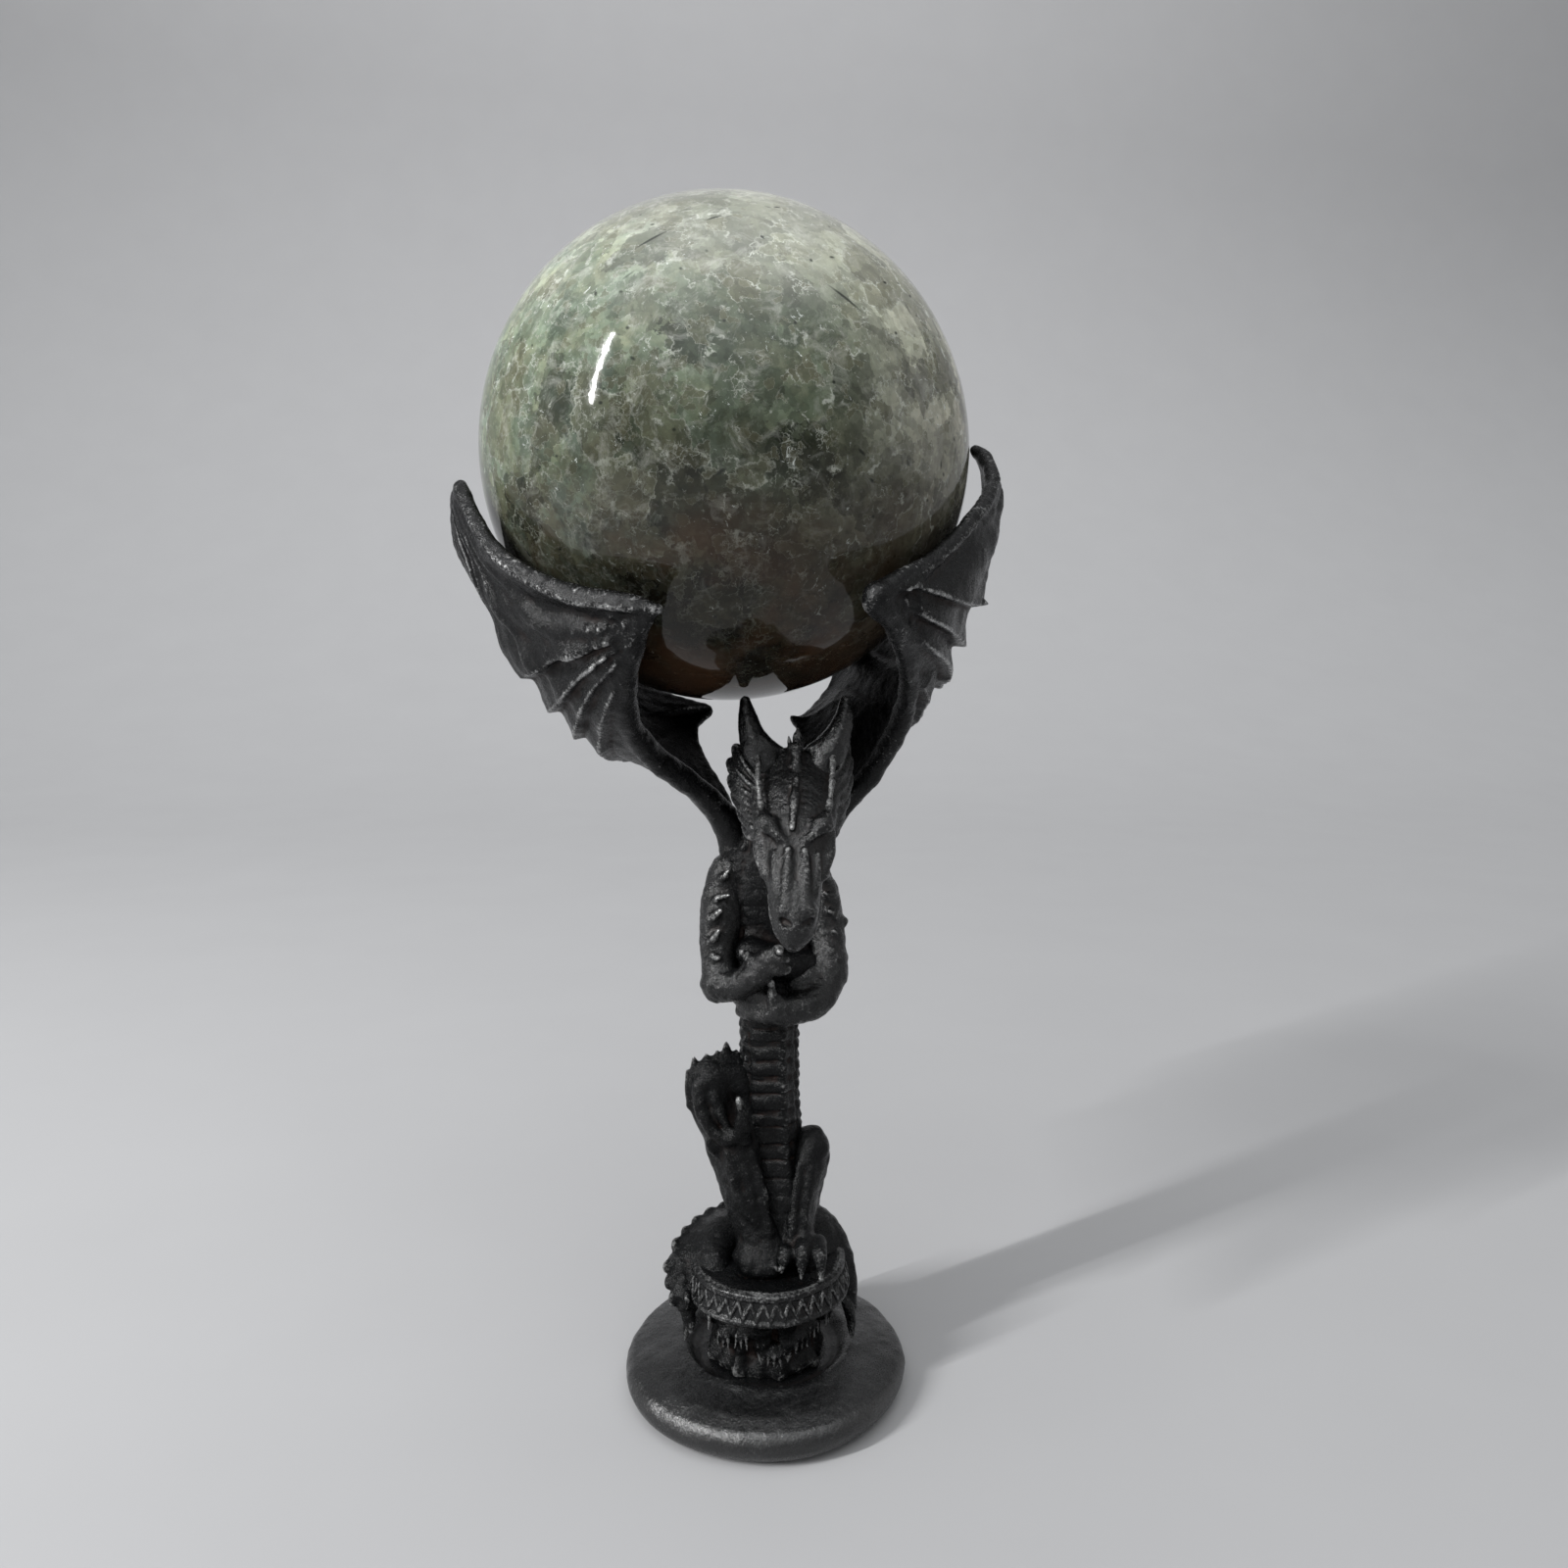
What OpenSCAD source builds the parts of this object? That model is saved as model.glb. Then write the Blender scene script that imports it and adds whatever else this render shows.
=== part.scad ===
// Polished stone ball resting between the raised wings of a cast metal dragon stand.
// Origin at the centre of the underside, +Z up, the dragon faces -Y.

/* [Ball] */
// Diameter of the stone ball
ball_d = 70; // [68:0.5:71]
// Ball centre, left and right of the base centre
ball_x = -6.9; // [-7.5:0.1:-6]
// Ball centre, behind the base centre
ball_y = 4; // [3:0.1:5]
// Ball centre above the underside
ball_z = 140.2; // [140:0.1:142]

/* [Base] */
// Diameter of the foot disc
disc_d = 43; // [41:0.5:48]
// Height of the rounded rim of the foot disc
rim_h = 5.1; // [4.6:0.1:5.6]
// Thickness of the soft pad under the disc
pad_t = 1.4; // [1.2:0.1:1.6]
// Diameter of the thread of the tie screw
screw_d = 4; // [3:0.5:4]
// Length of the tie screw under its head
screw_len = 21; // [19:0.5:21]

/* [Pedestal] */
// Diameter of the zigzag ring
ring_d = 25.4; // [24:0.2:27]
// Height of the pedestal's top face above the underside
drum_top = 20; // [19.6:0.1:20.6]
// Number of teeth in the zigzag relief
zigzags = 30; // [24:2:36]

/* [Wings] */
// Thickness of the wing membrane
membrane_t = 2.2; // [1.8:0.1:2.4]
// Gap between the ball and the seats on the wings
seat_gap = 0.3; // [0.2:0.05:0.5]
// How far the membrane stands off the ball at the ball's middle
stand_off = 3.4; // [3.2:0.1:4]
// How much further the membrane stands off below the ball
flare = 14; // [9:0.5:14]
// How far the top edge of a wing dips between the wrist and the tip
edge_sag = 2.2; // [0:0.2:3]

/* [Hidden] */

ball_r = ball_d / 2;
ball_c = [ball_x, ball_y, ball_z];
disc_r = disc_d / 2;
recess_r = disc_r - 3;              // recess for the pad
ring_r = ring_d / 2;
band_r = ring_r - 1.6;              // the zigzag ring is let onto the pedestal at this radius
band_h = 4.4;                       // height of the zigzag ring
edge_t = 0.4;                       // the disc's rim stands this far above the pad's face
head_h = 2.2;
head_r = screw_d * 0.875;
slot_l = 3.2;                       // cross recess of the screw
slot_w = 0.7;
bore_play = 0.25;                   // the bores are this much wider than the screw on each side
washer_t = 0.8;
washer_r = screw_d;
seat_z = pad_t + head_h + washer_t; // underside of the disc inside the counterbore
screw_top = pad_t + head_h + screw_len;
foot_r = 10;                        // radius of the flat that the pedestal stands on
dome_z = edge_t + rim_h + 1.2;      // highest ring of the domed disc
foot_z = dome_z - 0.6;              // underside of the pedestal
sole_z = drum_top + 2.1;            // height of the feet's middle
facets = 16;
across_n = 12;                      // cells of the wing membrane from front to back
down_n = 14;                        // cells of the wing membrane from top to bottom
iron = "#3b3d3f";
dark_iron = "#2f3133";

function mix(a, b, t) = a + (b - a) * t;
function unit(v) = v / norm(v);

// A smooth rod through points, as thick as the radius given at each point
module limb(points, radii) {
  for (i = [0 : len(points) - 2])
    hull() {
      translate(points[i]) sphere(r = radii[i], $fn = facets);
      translate(points[i + 1]) sphere(r = radii[i + 1], $fn = facets);
    }
}

// A pointed scale, claw or spike
module spike(from, to, width) {
  hull() {
    translate(from) sphere(r = width / 2, $fn = 12);
    translate(to) sphere(r = width / 8, $fn = 12);
  }
}

// Soft round pad stuck under the disc, over the screw's head
module base_pad() {
  color("#1c1c1e") cylinder(r = recess_r - 0.2, h = pad_t, $fn = 96);
}

// Pan head screw that pulls the pedestal and the figure onto the disc
module tie_screw() {
  color("silver")
    difference() {
      union() {
        translate([0, 0, pad_t]) cylinder(r = head_r, h = head_h, $fn = 48);
        translate([0, 0, pad_t + head_h]) cylinder(r = screw_d / 2, h = screw_len, $fn = 48);
      }
      for (turn = [0, 90])
        rotate(turn) translate([-slot_l / 2, -slot_w / 2, pad_t - 1]) cube([slot_l, slot_w, 2.1]);
    }
}

module tie_washer() {
  color("silver")
    translate([0, 0, pad_t + head_h])
      difference() {
        cylinder(r = washer_r, h = washer_t, $fn = 64);
        translate([0, 0, -1]) cylinder(r = screw_d / 2 + 0.1, h = washer_t + 2, $fn = 48);
      }
}

// Domed foot disc with a round rim, a recess for the pad and a counterbore for the screw
module base_disc() {
  color(iron)
    difference() {
      rotate_extrude($fn = 128) {
        translate([disc_r - rim_h / 2, edge_t + rim_h / 2]) circle(r = rim_h / 2, $fn = 64);
        polygon([[0, edge_t], [disc_r - rim_h / 2, edge_t], [disc_r - rim_h / 2, edge_t + rim_h],
                 [foot_r + 5, dome_z - 0.35], [foot_r + 2, dome_z], [foot_r, foot_z],
                 [0, foot_z]]);
      }
      translate([0, 0, -1]) cylinder(r = recess_r, h = pad_t + 1, $fn = 96);
      translate([0, 0, -1]) cylinder(r = washer_r + 0.5, h = seat_z + 1, $fn = 64);
      cylinder(r = screw_d / 2 + bore_play, h = 20, $fn = 48);
    }
}

// Rocky pedestal that flares up from the disc to the ring
module pedestal_drum() {
  color(dark_iron)
    difference() {
      union() {
        rotate_extrude($fn = 96)
          polygon([[0, foot_z], [9.2, foot_z], [9.6, foot_z + 1.2], [8.6, foot_z + 3],
                   [9.8, foot_z + 6], [11.4, foot_z + 8.6], [band_r, drum_top - 4.6],
                   [band_r, drum_top], [0, drum_top]]);
        for (i = [0 : 7])
          rotate(i * 45 + 12)
            translate([9.6, 0, foot_z + 4.4 + (i % 2)]) sphere(r = 2.1, $fn = 16);
      }
      cylinder(r = screw_d / 2 + bore_play, h = drum_top + 4, $fn = 48);
    }
}

// Band with raised rims and a zigzag of small teeth round the pedestal
module zigzag_ring() {
  low = drum_top - band_h;
  color(iron) {
    rotate_extrude($fn = 96)
      polygon([[band_r, low], [ring_r + 0.3, low], [ring_r + 0.4, low + 0.8],
               [ring_r - 0.4, low + 1], [ring_r - 0.8, low + 3.2], [ring_r - 0.2, low + 3.4],
               [ring_r - 0.3, low + 4.3], [band_r, low + band_h]]);
    for (i = [0 : zigzags - 1])
      rotate(i * 360 / zigzags)
        translate([ring_r - 0.9, 0, low + 0.9]) rotate([90, 0, 90])
          linear_extrude(0.75) polygon([[-1.1, 0], [1.1, 0], [0, 2.4]]);
  }
}

// Tail that comes down behind the figure and lies round the top of the pedestal
module tail() {
  points = [[1, 8.4, 21.6], [6, 9.8, 21.4], [10.4, 7, 21], [11.9, 1.5, 19.6], [11.6, -3.4, 17.2]];
  left_points = [[1, 8.4, 21.6], [-5, 10, 21.2], [-10.4, 7, 20.6], [-12.4, 1, 19.2],
                 [-11, -4.2, 18.2], [-7, -8.2, 17.6]];
  color(iron) {
    limb(points, [3.4, 3.3, 3.2, 2.7, 1.9]);
    limb(left_points, [3.4, 3.2, 3.2, 3, 2.4, 1.5]);
    for (i = [0 : 5]) {
      turn = 125 + i * 18;
      base = [11.5 * cos(turn), 11 * sin(turn), 20.6];
      spike(base, base + [1.6 * cos(turn), 1.6 * sin(turn), 3.6 - 0.3 * i], 2.4);
    }
  }
}

// Slender body from the hips to the shoulders and the neck
module torso() {
  spine = [[0.8, 1.6, 24.2], [1.2, 1.2, 40], [-0.6, 0.6, 59], [0, 2, 70], [0.3, 3, 78],
           [0.9, 1.6, 87]];
  color(dark_iron)
    difference() {
      union() {
        limb(spine, [5, 4.2, 4.1, 5.6, 6.2, 4.4]);
        translate([0, 0, drum_top]) cylinder(r = 5, h = 5, $fn = 48);
      }
      translate([0, 0, drum_top - 1])
        cylinder(r = screw_d / 2, h = screw_top - drum_top + 2, $fn = 48);
      translate([-20, -20, 0]) cube([40, 40, drum_top]);
    }
}

// Back leg: thigh, knee with plates, shank and a clawed foot on the pedestal
module leg(hip, knee, shank, foot, knee_r) {
  limb([hip, knee, shank, foot], [3.6, knee_r, 2.9, 2.3]);
  for (i = [0 : 2]) {
    base = knee + [0, 0, -3 * i];
    out = sign(knee[0]) * (knee_r + 0.8 - 0.4 * i);
    spike(base, base + [out, -0.6, 4 - 1.6 * i], 3);
  }
  for (i = [-1 : 1])
    spike(foot + [1.9 * i, -1, 0], foot + [2.5 * i, -4.4, -0.6], 1.9);
}

module left_leg() {
  color(iron)
    leg([-2.2, 2.6, 36], [-8, -1.4, 49.6], [-4.4, -3.2, 34], [-2.6, -5.6, sole_z], 3.9);
}

module right_leg() {
  color(iron)
    leg([4, 2.2, 30], [6, -1.6, 37.6], [4.6, -3, 29.6], [4, -5.6, sole_z], 3);
}

// Arm: plated upper arm, elbow out to the side, forearm to the clasped hands
module arm(shoulder, elbow, hand) {
  side = sign(shoulder[0]);
  limb([shoulder, elbow, hand], [3.4, 2.9, 1.9]);
  for (i = [0 : 3]) {
    base = mix(shoulder, elbow, i / 4);
    spike(base, base + [side * 3.9, -0.4, -2], 3.4);
  }
  for (i = [-1 : 1])
    spike(hand + [1.1 * i, -0.6, 0], hand + [1.4 * i, -2.4, -2.2], 1.4);
}

module left_arm() {
  color(iron) arm([-6.6, 2.4, 75], [-7, -3.6, 64.6], [-0.8, -8.2, 65.2]);
}

module right_arm() {
  color(iron) arm([7, 2.4, 76.2], [8, -3.8, 66.4], [2.4, -8.2, 63.4]);
}

// Long head that looks down and forward, with brows, side frills and a crest
module head() {
  skull = [2.8, -7.4, 89.6];
  brow = [1.6, -15.5, 85.5];
  nose = [0.6, -21.5, 76.4];
  color(iron) {
    limb([[1.2, 0.5, 86], skull, brow, nose], [4.4, 6.2, 4.6, 2.9]);
    for (side = [-1, 1]) {
      spike(skull + [side * 4, 1, 2], skull + [side * 7.4, 1, 5.6], 4.6);
      spike(skull + [side * 4, 1, -2], skull + [side * 7.2, 1.6, -0.6], 4.6);
      spike(brow + [side * 3, -1, 1.2], brow + [side * 3.6, -3.4, 2], 2.6);
    }
    for (i = [0 : 2])
      spike(skull + [0, 3 - 3 * i, 4.5], skull + [0, 3.6 - 3 * i, 12 - 2.4 * i], 3);
  }
}

module horn(from, to) {
  color(iron) limb([from, mix(from, to, 0.55) + [0, 0.4, 0], to], [2.3, 1.6, 0.9]);
}

module left_horn() {
  horn([-2, -8.4, 94], [-4.4, -6.6, 104.6]);
}

module right_horn() {
  horn([6.6, -8.4, 94], [9.6, -6.6, 104.8]);
}

// The wings are drawn round the ball's centre, with +X outward, and the left one is mirrored.
// A bend is a curve through a start, towards a middle point, to an end.
function bend(p, t) = mix(mix(p[0], p[1], t), mix(p[1], p[2], t), t);

// How far the membrane's middle stands from the ball's centre at a given drop below it
function shell_r(drop) = ball_r + stand_off + flare * pow(max(drop, 0) / 90, 3);

// A point on the wing: across runs from the front edge to the back edge, and down runs
// from the wrist and the tip to the root and the hook
function wing_point(front, back, across, down) =
  let (sag = 4 * across * (1 - across) * (1 - down) * edge_sag,
       flat = mix(bend(front, down), bend(back, down), across) - [0, 0, sag],
       arrow = unit(flat),
       reach = shell_r(-asin(arrow[2])))
  arrow * max(reach, norm(flat));

// Wing membrane as one closed sheet that cups the ball
module membrane(front, back) {
  half = membrane_t / 2;
  sheet = [for (i = [0 : across_n], j = [0 : down_n])
             wing_point(front, back, i / across_n, j / down_n)];
  inner = [for (p = sheet) p - unit(p) * half];
  outer = [for (p = sheet) p + unit(p) * half];
  row = down_n + 1;
  count = (across_n + 1) * row;
  last = across_n * row;
  cells = [for (i = [0 : across_n - 1], j = [0 : down_n - 1]) i * row + j];
  ends = [for (j = [0 : down_n - 1]) j];
  sides = [for (i = [0 : across_n - 1]) i * row];
  faces = concat(
    [for (a = cells) [a, a + 1, a + row]],
    [for (a = cells) [a + 1, a + row + 1, a + row]],
    [for (a = cells) [count + a, count + a + row, count + a + 1]],
    [for (a = cells) [count + a + 1, count + a + row, count + a + row + 1]],
    [for (a = ends) [a, count + a, count + a + 1]],
    [for (a = ends) [a, count + a + 1, a + 1]],
    [for (a = ends) [last + a, last + a + 1, count + last + a + 1]],
    [for (a = ends) [last + a, count + last + a + 1, count + last + a]],
    [for (a = sides) [a, a + row, count + a + row]],
    [for (a = sides) [a, count + a + row, count + a]],
    [for (a = sides) [a + down_n, count + a + down_n, count + a + row + down_n]],
    [for (a = sides) [a + down_n, count + a + row + down_n, a + row + down_n]]);
  polyhedron(points = concat(inner, outer), faces = faces, convexity = 6);
}

// Low round boss on the inside of a wing that the ball rests against
module seat(front, back, across, down) {
  boss_r = 2.4;
  skin = wing_point(front, back, across, down);
  limb([unit(skin) * (ball_r + seat_gap + boss_r), skin], [boss_r, membrane_t / 2]);
}

// Wing: membrane, ridge from the wrist to the tip, arm bone from the wrist to the root,
// a stub that is let into the shoulder, and the seats for the ball
module wing(side, front, back, stub) {
  ridge = [for (i = [0 : 6]) wing_point(front, back, i / 6, 0)];
  arm = [for (j = [0 : 6]) wing_point(front, back, 0, j / 6)];
  color(dark_iron)
    translate(ball_c)
      mirror([side < 0 ? 1 : 0, 0, 0]) {
        membrane(front, back);
        limb(ridge, [for (i = [0 : 6]) 1.9 - 0.18 * i]);
        limb(arm, [for (j = [0 : 6]) 1.9 + 0.11 * j]);
        limb([front[2], stub], [2.5, 2.7]);
        seat(front, back, 0.08, 0.1);
        seat(front, back, 0.45, 0.45);
        seat(front, back, 0.92, 0.8);
      }
}

module left_wing() {
  wing(-1, [[12.4, -29.8, -23.4], [17.6, -13, -40.8], [-1.3, -1, -54.4]],
       [[37.2, -3.4, -6.2], [28.8, 40, -15], [0.3, 18, -37]], [-2.9, -1, -60]);
}

module right_wing() {
  wing(1, [[14.6, -29.8, -22.2], [28, -12, -33.4], [18, -1, -51.6]],
       [[37.4, 2.4, 2], [36, 40, -15], [12.5, 18, -40]], [11.9, -1, -59]);
}

module crystal_ball() {
  color("#7f8f78") translate(ball_c) sphere(r = ball_r, $fn = 128);
}

base_pad();
tie_screw();
tie_washer();
base_disc();
pedestal_drum();
zigzag_ring();
tail();
torso();
left_leg();
right_leg();
left_arm();
right_arm();
head();
left_horn();
right_horn();
left_wing();
right_wing();
crystal_ball();
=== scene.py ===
"""A polished stone ball held by the wings of a cast metal dragon on a small round foot.

The metal is modelled in clay: each piece is a field of distances on a grid, built up from rods,
blades, lumps and relief, and then turned into a closed mesh. Lengths are in millimetres in the
row's frame until a mesh is made, and the mesh is in metres.
"""

import math

import bpy
import numpy as np
import openvdb as vdb
from mathutils import Matrix, Vector


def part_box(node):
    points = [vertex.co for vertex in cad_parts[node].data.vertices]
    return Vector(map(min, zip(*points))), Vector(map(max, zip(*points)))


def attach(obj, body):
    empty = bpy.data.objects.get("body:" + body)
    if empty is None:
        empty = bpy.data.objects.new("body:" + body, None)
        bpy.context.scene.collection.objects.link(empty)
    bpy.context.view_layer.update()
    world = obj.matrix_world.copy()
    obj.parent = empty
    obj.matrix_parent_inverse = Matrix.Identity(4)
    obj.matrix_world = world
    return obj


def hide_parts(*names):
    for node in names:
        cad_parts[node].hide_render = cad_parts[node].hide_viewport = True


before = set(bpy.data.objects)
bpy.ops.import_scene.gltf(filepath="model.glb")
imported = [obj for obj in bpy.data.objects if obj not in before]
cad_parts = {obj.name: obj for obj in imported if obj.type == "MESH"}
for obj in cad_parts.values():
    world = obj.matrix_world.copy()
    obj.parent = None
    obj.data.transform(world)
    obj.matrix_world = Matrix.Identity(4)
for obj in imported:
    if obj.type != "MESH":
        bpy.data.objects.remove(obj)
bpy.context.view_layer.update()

MM = 0.001
COARSE = 1.0
FAR = 5.0  # distances are only kept this far from a surface

low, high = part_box("crystal_ball")
BALL = np.array([(a + b) / 2 / MM for a, b in zip(low, high)])
BALL_R = (high[2] - low[2]) / 2 / MM


# ---------------------------------------------------------------- clay


def unit(v):
    """The vector v at a length of 1."""
    v = np.asarray(v, float)
    return v / max(float(np.linalg.norm(v)), 1e-9)


def spoke(degrees):
    """The level direction at an angle round the row's Z axis."""
    a = math.radians(degrees)
    return np.array([math.cos(a), math.sin(a), 0])


def to_oval(squares, fourths):
    """Distance from an ellipsoid, given the sums of x²/r² and of x²/r⁴ over its axes."""
    k = np.sqrt(squares)
    return k * (k - 1) / np.maximum(np.sqrt(fourths), 1e-6)


def soft_min(a, b, soft):
    """The smaller of two fields, with their seam rounded over the width soft."""
    if soft <= 0:
        return np.minimum(a, b)
    h = np.clip(0.5 + 0.5 * (b - a) / soft, 0.0, 1.0)
    return b + (a - b) * h - soft * h * (1.0 - h)


def curve(points, sizes, count):
    """A smooth curve through points, with a size at each, as count + 1 points and sizes."""
    rows = np.array([list(p) + [s] for p, s in zip(points, sizes)], float)
    if len(rows) == 2:
        t = np.linspace(0, 1, count + 1)[:, None]
        out = rows[0] * (1 - t) + rows[1] * t
        return out[:, :-1], out[:, -1]
    ends = np.vstack([2 * rows[0] - rows[1], rows, 2 * rows[-1] - rows[-2]])
    out = []
    for t in np.linspace(0, len(rows) - 1, count + 1):
        i = min(int(t), len(rows) - 2)
        f = t - i
        a, b, c, d = ends[i : i + 4]
        bend = (2 * a - 5 * b + 4 * c - d) * f**2 + (3 * b - a - 3 * c + d) * f**3
        out.append(0.5 * (2 * b + (c - a) * f + bend))
    out = np.array(out)
    return out[:, :-1], np.maximum(out[:, -1], 0.05)


def smooth_noise(axes, pitch, seed):
    """Soft noise from -1 to 1 on the grid of the given axes, with lumps about pitch across."""
    rng = np.random.RandomState(seed)
    weights = []
    for axis in axes:
        cells = int((axis[-1] - axis[0]) / pitch) + 2
        place = (axis - axis[0]) / pitch
        i = np.clip(place.astype(int), 0, cells - 1)
        f = place - i
        f = f * f * (3 - 2 * f)
        w = np.zeros((len(axis), cells + 1), np.float32)
        w[np.arange(len(axis)), i] = 1 - f
        w[np.arange(len(axis)), i + 1] += f
        weights.append(w)
    field = rng.uniform(-1, 1, [w.shape[1] for w in weights]).astype(np.float32)
    for k, w in enumerate(weights):
        field = np.moveaxis(np.tensordot(w, field, axes=(1, k)), 0, k)
    return field


def box_blur(field, cells):
    """Mean of the field over a cube that reaches so many cells each way."""
    for k in range(3):
        padded = np.pad(field, [(cells + 1, cells) if j == k else (0, 0) for j in range(3)], "edge")
        total = np.cumsum(padded, axis=k, dtype=np.float32)
        upper = [slice(None)] * 3
        lower = [slice(None)] * 3
        upper[k] = slice(2 * cells + 1, None)
        lower[k] = slice(0, -(2 * cells + 1))
        field = (total[tuple(upper)] - total[tuple(lower)]) / (2 * cells + 1)
    return field


class Clay:
    """Distances to a surface on a grid, in millimetres; negative inside.

    The grid's own axes may stand at an origin and be turned about Z against the row's frame.
    """

    def __init__(self, lowest, highest, cell, origin=(0, 0, 0), turn=0.0):
        self.cell = cell * COARSE
        self.lowest = np.array(lowest, float)
        size = np.array(highest, float) - self.lowest
        self.count = np.ceil(size / self.cell).astype(int) + 1
        self.field = np.full(self.count, FAR, np.float32)
        self.origin = np.array(origin, float)
        self.turn = turn

    def axes(self):
        """The grid's coordinates along each of its axes."""
        return [self.lowest[k] + self.cell * np.arange(self.count[k], dtype=np.float32) for k in range(3)]

    def near(self, points, reach):
        """The part of the grid within reach of some points, and its coordinates."""
        points = np.atleast_2d(points)
        first = np.floor((points.min(0) - reach - self.lowest) / self.cell).astype(int)
        last = np.ceil((points.max(0) + reach - self.lowest) / self.cell).astype(int) + 1
        first = np.clip(first, 0, self.count - 1)
        last = np.clip(last, first + 1, self.count)
        part = tuple(slice(a, b) for a, b in zip(first, last))
        axes = [axis[p] for axis, p in zip(self.axes(), part)]
        return part, np.meshgrid(*axes, indexing="ij", sparse=True)

    def in_row(self, x, y, z):
        """Row coordinates of a place given in the grid's own."""
        c, s = math.cos(self.turn), math.sin(self.turn)
        ox, oy, oz = self.origin
        return c * x - s * y + ox, s * x + c * y + oy, z + oz

    def join(self, part, field, soft=0.0):
        """Adds a shape, given as distances over a part of the grid."""
        self.field[part] = soft_min(self.field[part], field, soft)

    def carve(self, part, field, soft):
        """Takes a shape away."""
        self.field[part] = -soft_min(-self.field[part], field, soft)

    def rod(self, points, sizes, soft=0.5, thin=None, flat=1.0, count=None, cut=False, bumps=None):
        """A rod along a smooth curve, as thick as the size at each point.

        thin is the direction in which it is flattened, to flat times its width. bumps gives an
        outward relief from how far along the rod a point is, from 0 to 1.
        """
        if count is None:
            count = 1 if len(points) == 2 and thin is None else 5 * (len(points) - 1)
        path, size = curve(points, sizes, count)
        reach = float(size.max()) + soft + 1.2
        part, (x, y, z) = self.near(path, reach)
        best = along = None
        steps = len(path) - 1
        for i in range(steps):
            a, b = path[i], path[i + 1]
            ab = b - a
            length2 = max(float(ab @ ab), 1e-9)
            dx, dy, dz = x - a[0], y - a[1], z - a[2]
            h = np.clip((dx * ab[0] + dy * ab[1] + dz * ab[2]) / length2, 0, 1)
            dx, dy, dz = dx - h * ab[0], dy - h * ab[1], dz - h * ab[2]
            square = dx * dx + dy * dy + dz * dz
            r = size[i] + (size[i + 1] - size[i]) * h
            if thin is None:
                d = np.sqrt(square) - r
            else:
                n = unit(np.asarray(thin, float) - ab * (np.dot(thin, ab) / length2))
                across = dx * n[0] + dy * n[1] + dz * n[2]
                across *= across
                wide = np.maximum(square - across, 0)
                d = to_oval(wide / r**2 + across / (r * flat) ** 2, wide / r**4 + across / (r * flat) ** 4)
            if best is None:
                best = d
                along = (i + h) / steps
            else:
                if bumps is not None:
                    along = np.where(d < best, (i + h) / steps, along)
                best = np.minimum(best, d)
        if bumps is not None:
            best = best - bumps(along)
        best = np.maximum(np.minimum(best, FAR), -FAR).astype(np.float32)
        (self.carve if cut else self.join)(part, best, soft)

    def lump(self, centre, size, along=(1, 0, 0), up=(0, 0, 1), soft=0.5):
        """An ellipsoid with half-sizes size along its own axes along, sideways and up."""
        a = unit(along)
        c = unit(np.asarray(up, float) - a * np.dot(up, a))
        b = np.cross(c, a)
        part, (x, y, z) = self.near([centre], max(size) + soft + 1.0)
        dx, dy, dz = x - centre[0], y - centre[1], z - centre[2]
        squares = fourths = 0
        for axis, s in zip((a, b, c), size):
            q = (dx * axis[0] + dy * axis[1] + dz * axis[2]) ** 2
            squares = squares + q / s**2
            fourths = fourths + q / s**4
        self.join(part, to_oval(squares, fourths).astype(np.float32), soft)

    def blade(self, points, width, thick, facing, soft):
        """A pointed flat scale or claw along points; facing is the direction it is thin in."""
        share = np.linspace(0, 1, len(points))
        sizes = [max(width / 2 * (1 - s**2.2) ** 0.7, 0.16) for s in share]
        self.rod(points, sizes, soft=soft, thin=facing, flat=min(thick / width, 1.0))

    def lathe(self, outline, relief):
        """A solid turned about Z: outline is a closed loop of (radius, height) points.

        relief gives how far the surface stands out, from the angle, the height and the radius.
        """
        loop = np.array(outline, float)
        wide = loop[:, 0].max()
        corners = [(-wide, -wide, loop[:, 1].min()), (wide, wide, loop[:, 1].max())]
        part, (x, y, z) = self.near(corners, 1.5)
        radius = np.sqrt(x * x + y * y)
        radius = radius - relief(np.arctan2(y, x), z, radius)
        radius, height = np.broadcast_arrays(radius, z)
        best = np.full(radius.shape, FAR**2, np.float32)
        inside = np.zeros(radius.shape, bool)
        for (ar, az), (br, bz) in zip(loop, np.roll(loop, -1, axis=0)):
            er, ez = br - ar, bz - az
            wr, wz = radius - ar, height - az
            h = np.clip((wr * er + wz * ez) / max(er * er + ez * ez, 1e-9), 0, 1)
            best = np.minimum(best, (wr - er * h) ** 2 + (wz - ez * h) ** 2)
            if az != bz:
                crosses = (height >= min(az, bz)) & (height < max(az, bz))
                inside ^= crosses & (radius < ar + er * (height - az) / ez)
        d = np.sqrt(best)
        self.join(part, np.where(inside, -d, d).astype(np.float32))

    def roughen(self, amount, pitch, seed):
        """Uneven hand-worked surface."""
        self.field += amount * smooth_noise(self.axes(), pitch, seed)

    def smooth(self):
        """Rounds the whole surface off by a cell."""
        self.field = box_blur(np.clip(self.field, -2, 2), 1).astype(np.float32)

    def cut_flat(self, height):
        """Takes away everything below a height."""
        z = self.axes()[2][None, None, :]
        self.field = np.maximum(self.field, height - z).astype(np.float32)

    def keep_off_ball(self, gap):
        """Takes away everything nearer to the stone ball than gap."""
        grid = np.meshgrid(*self.axes(), indexing="ij", sparse=True)
        x, y, z = (place - middle for place, middle in zip(self.in_row(*grid), BALL))
        near = BALL_R + gap - np.sqrt(x * x + y * y + z * z)
        self.field = np.maximum(self.field, near).astype(np.float32)

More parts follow.
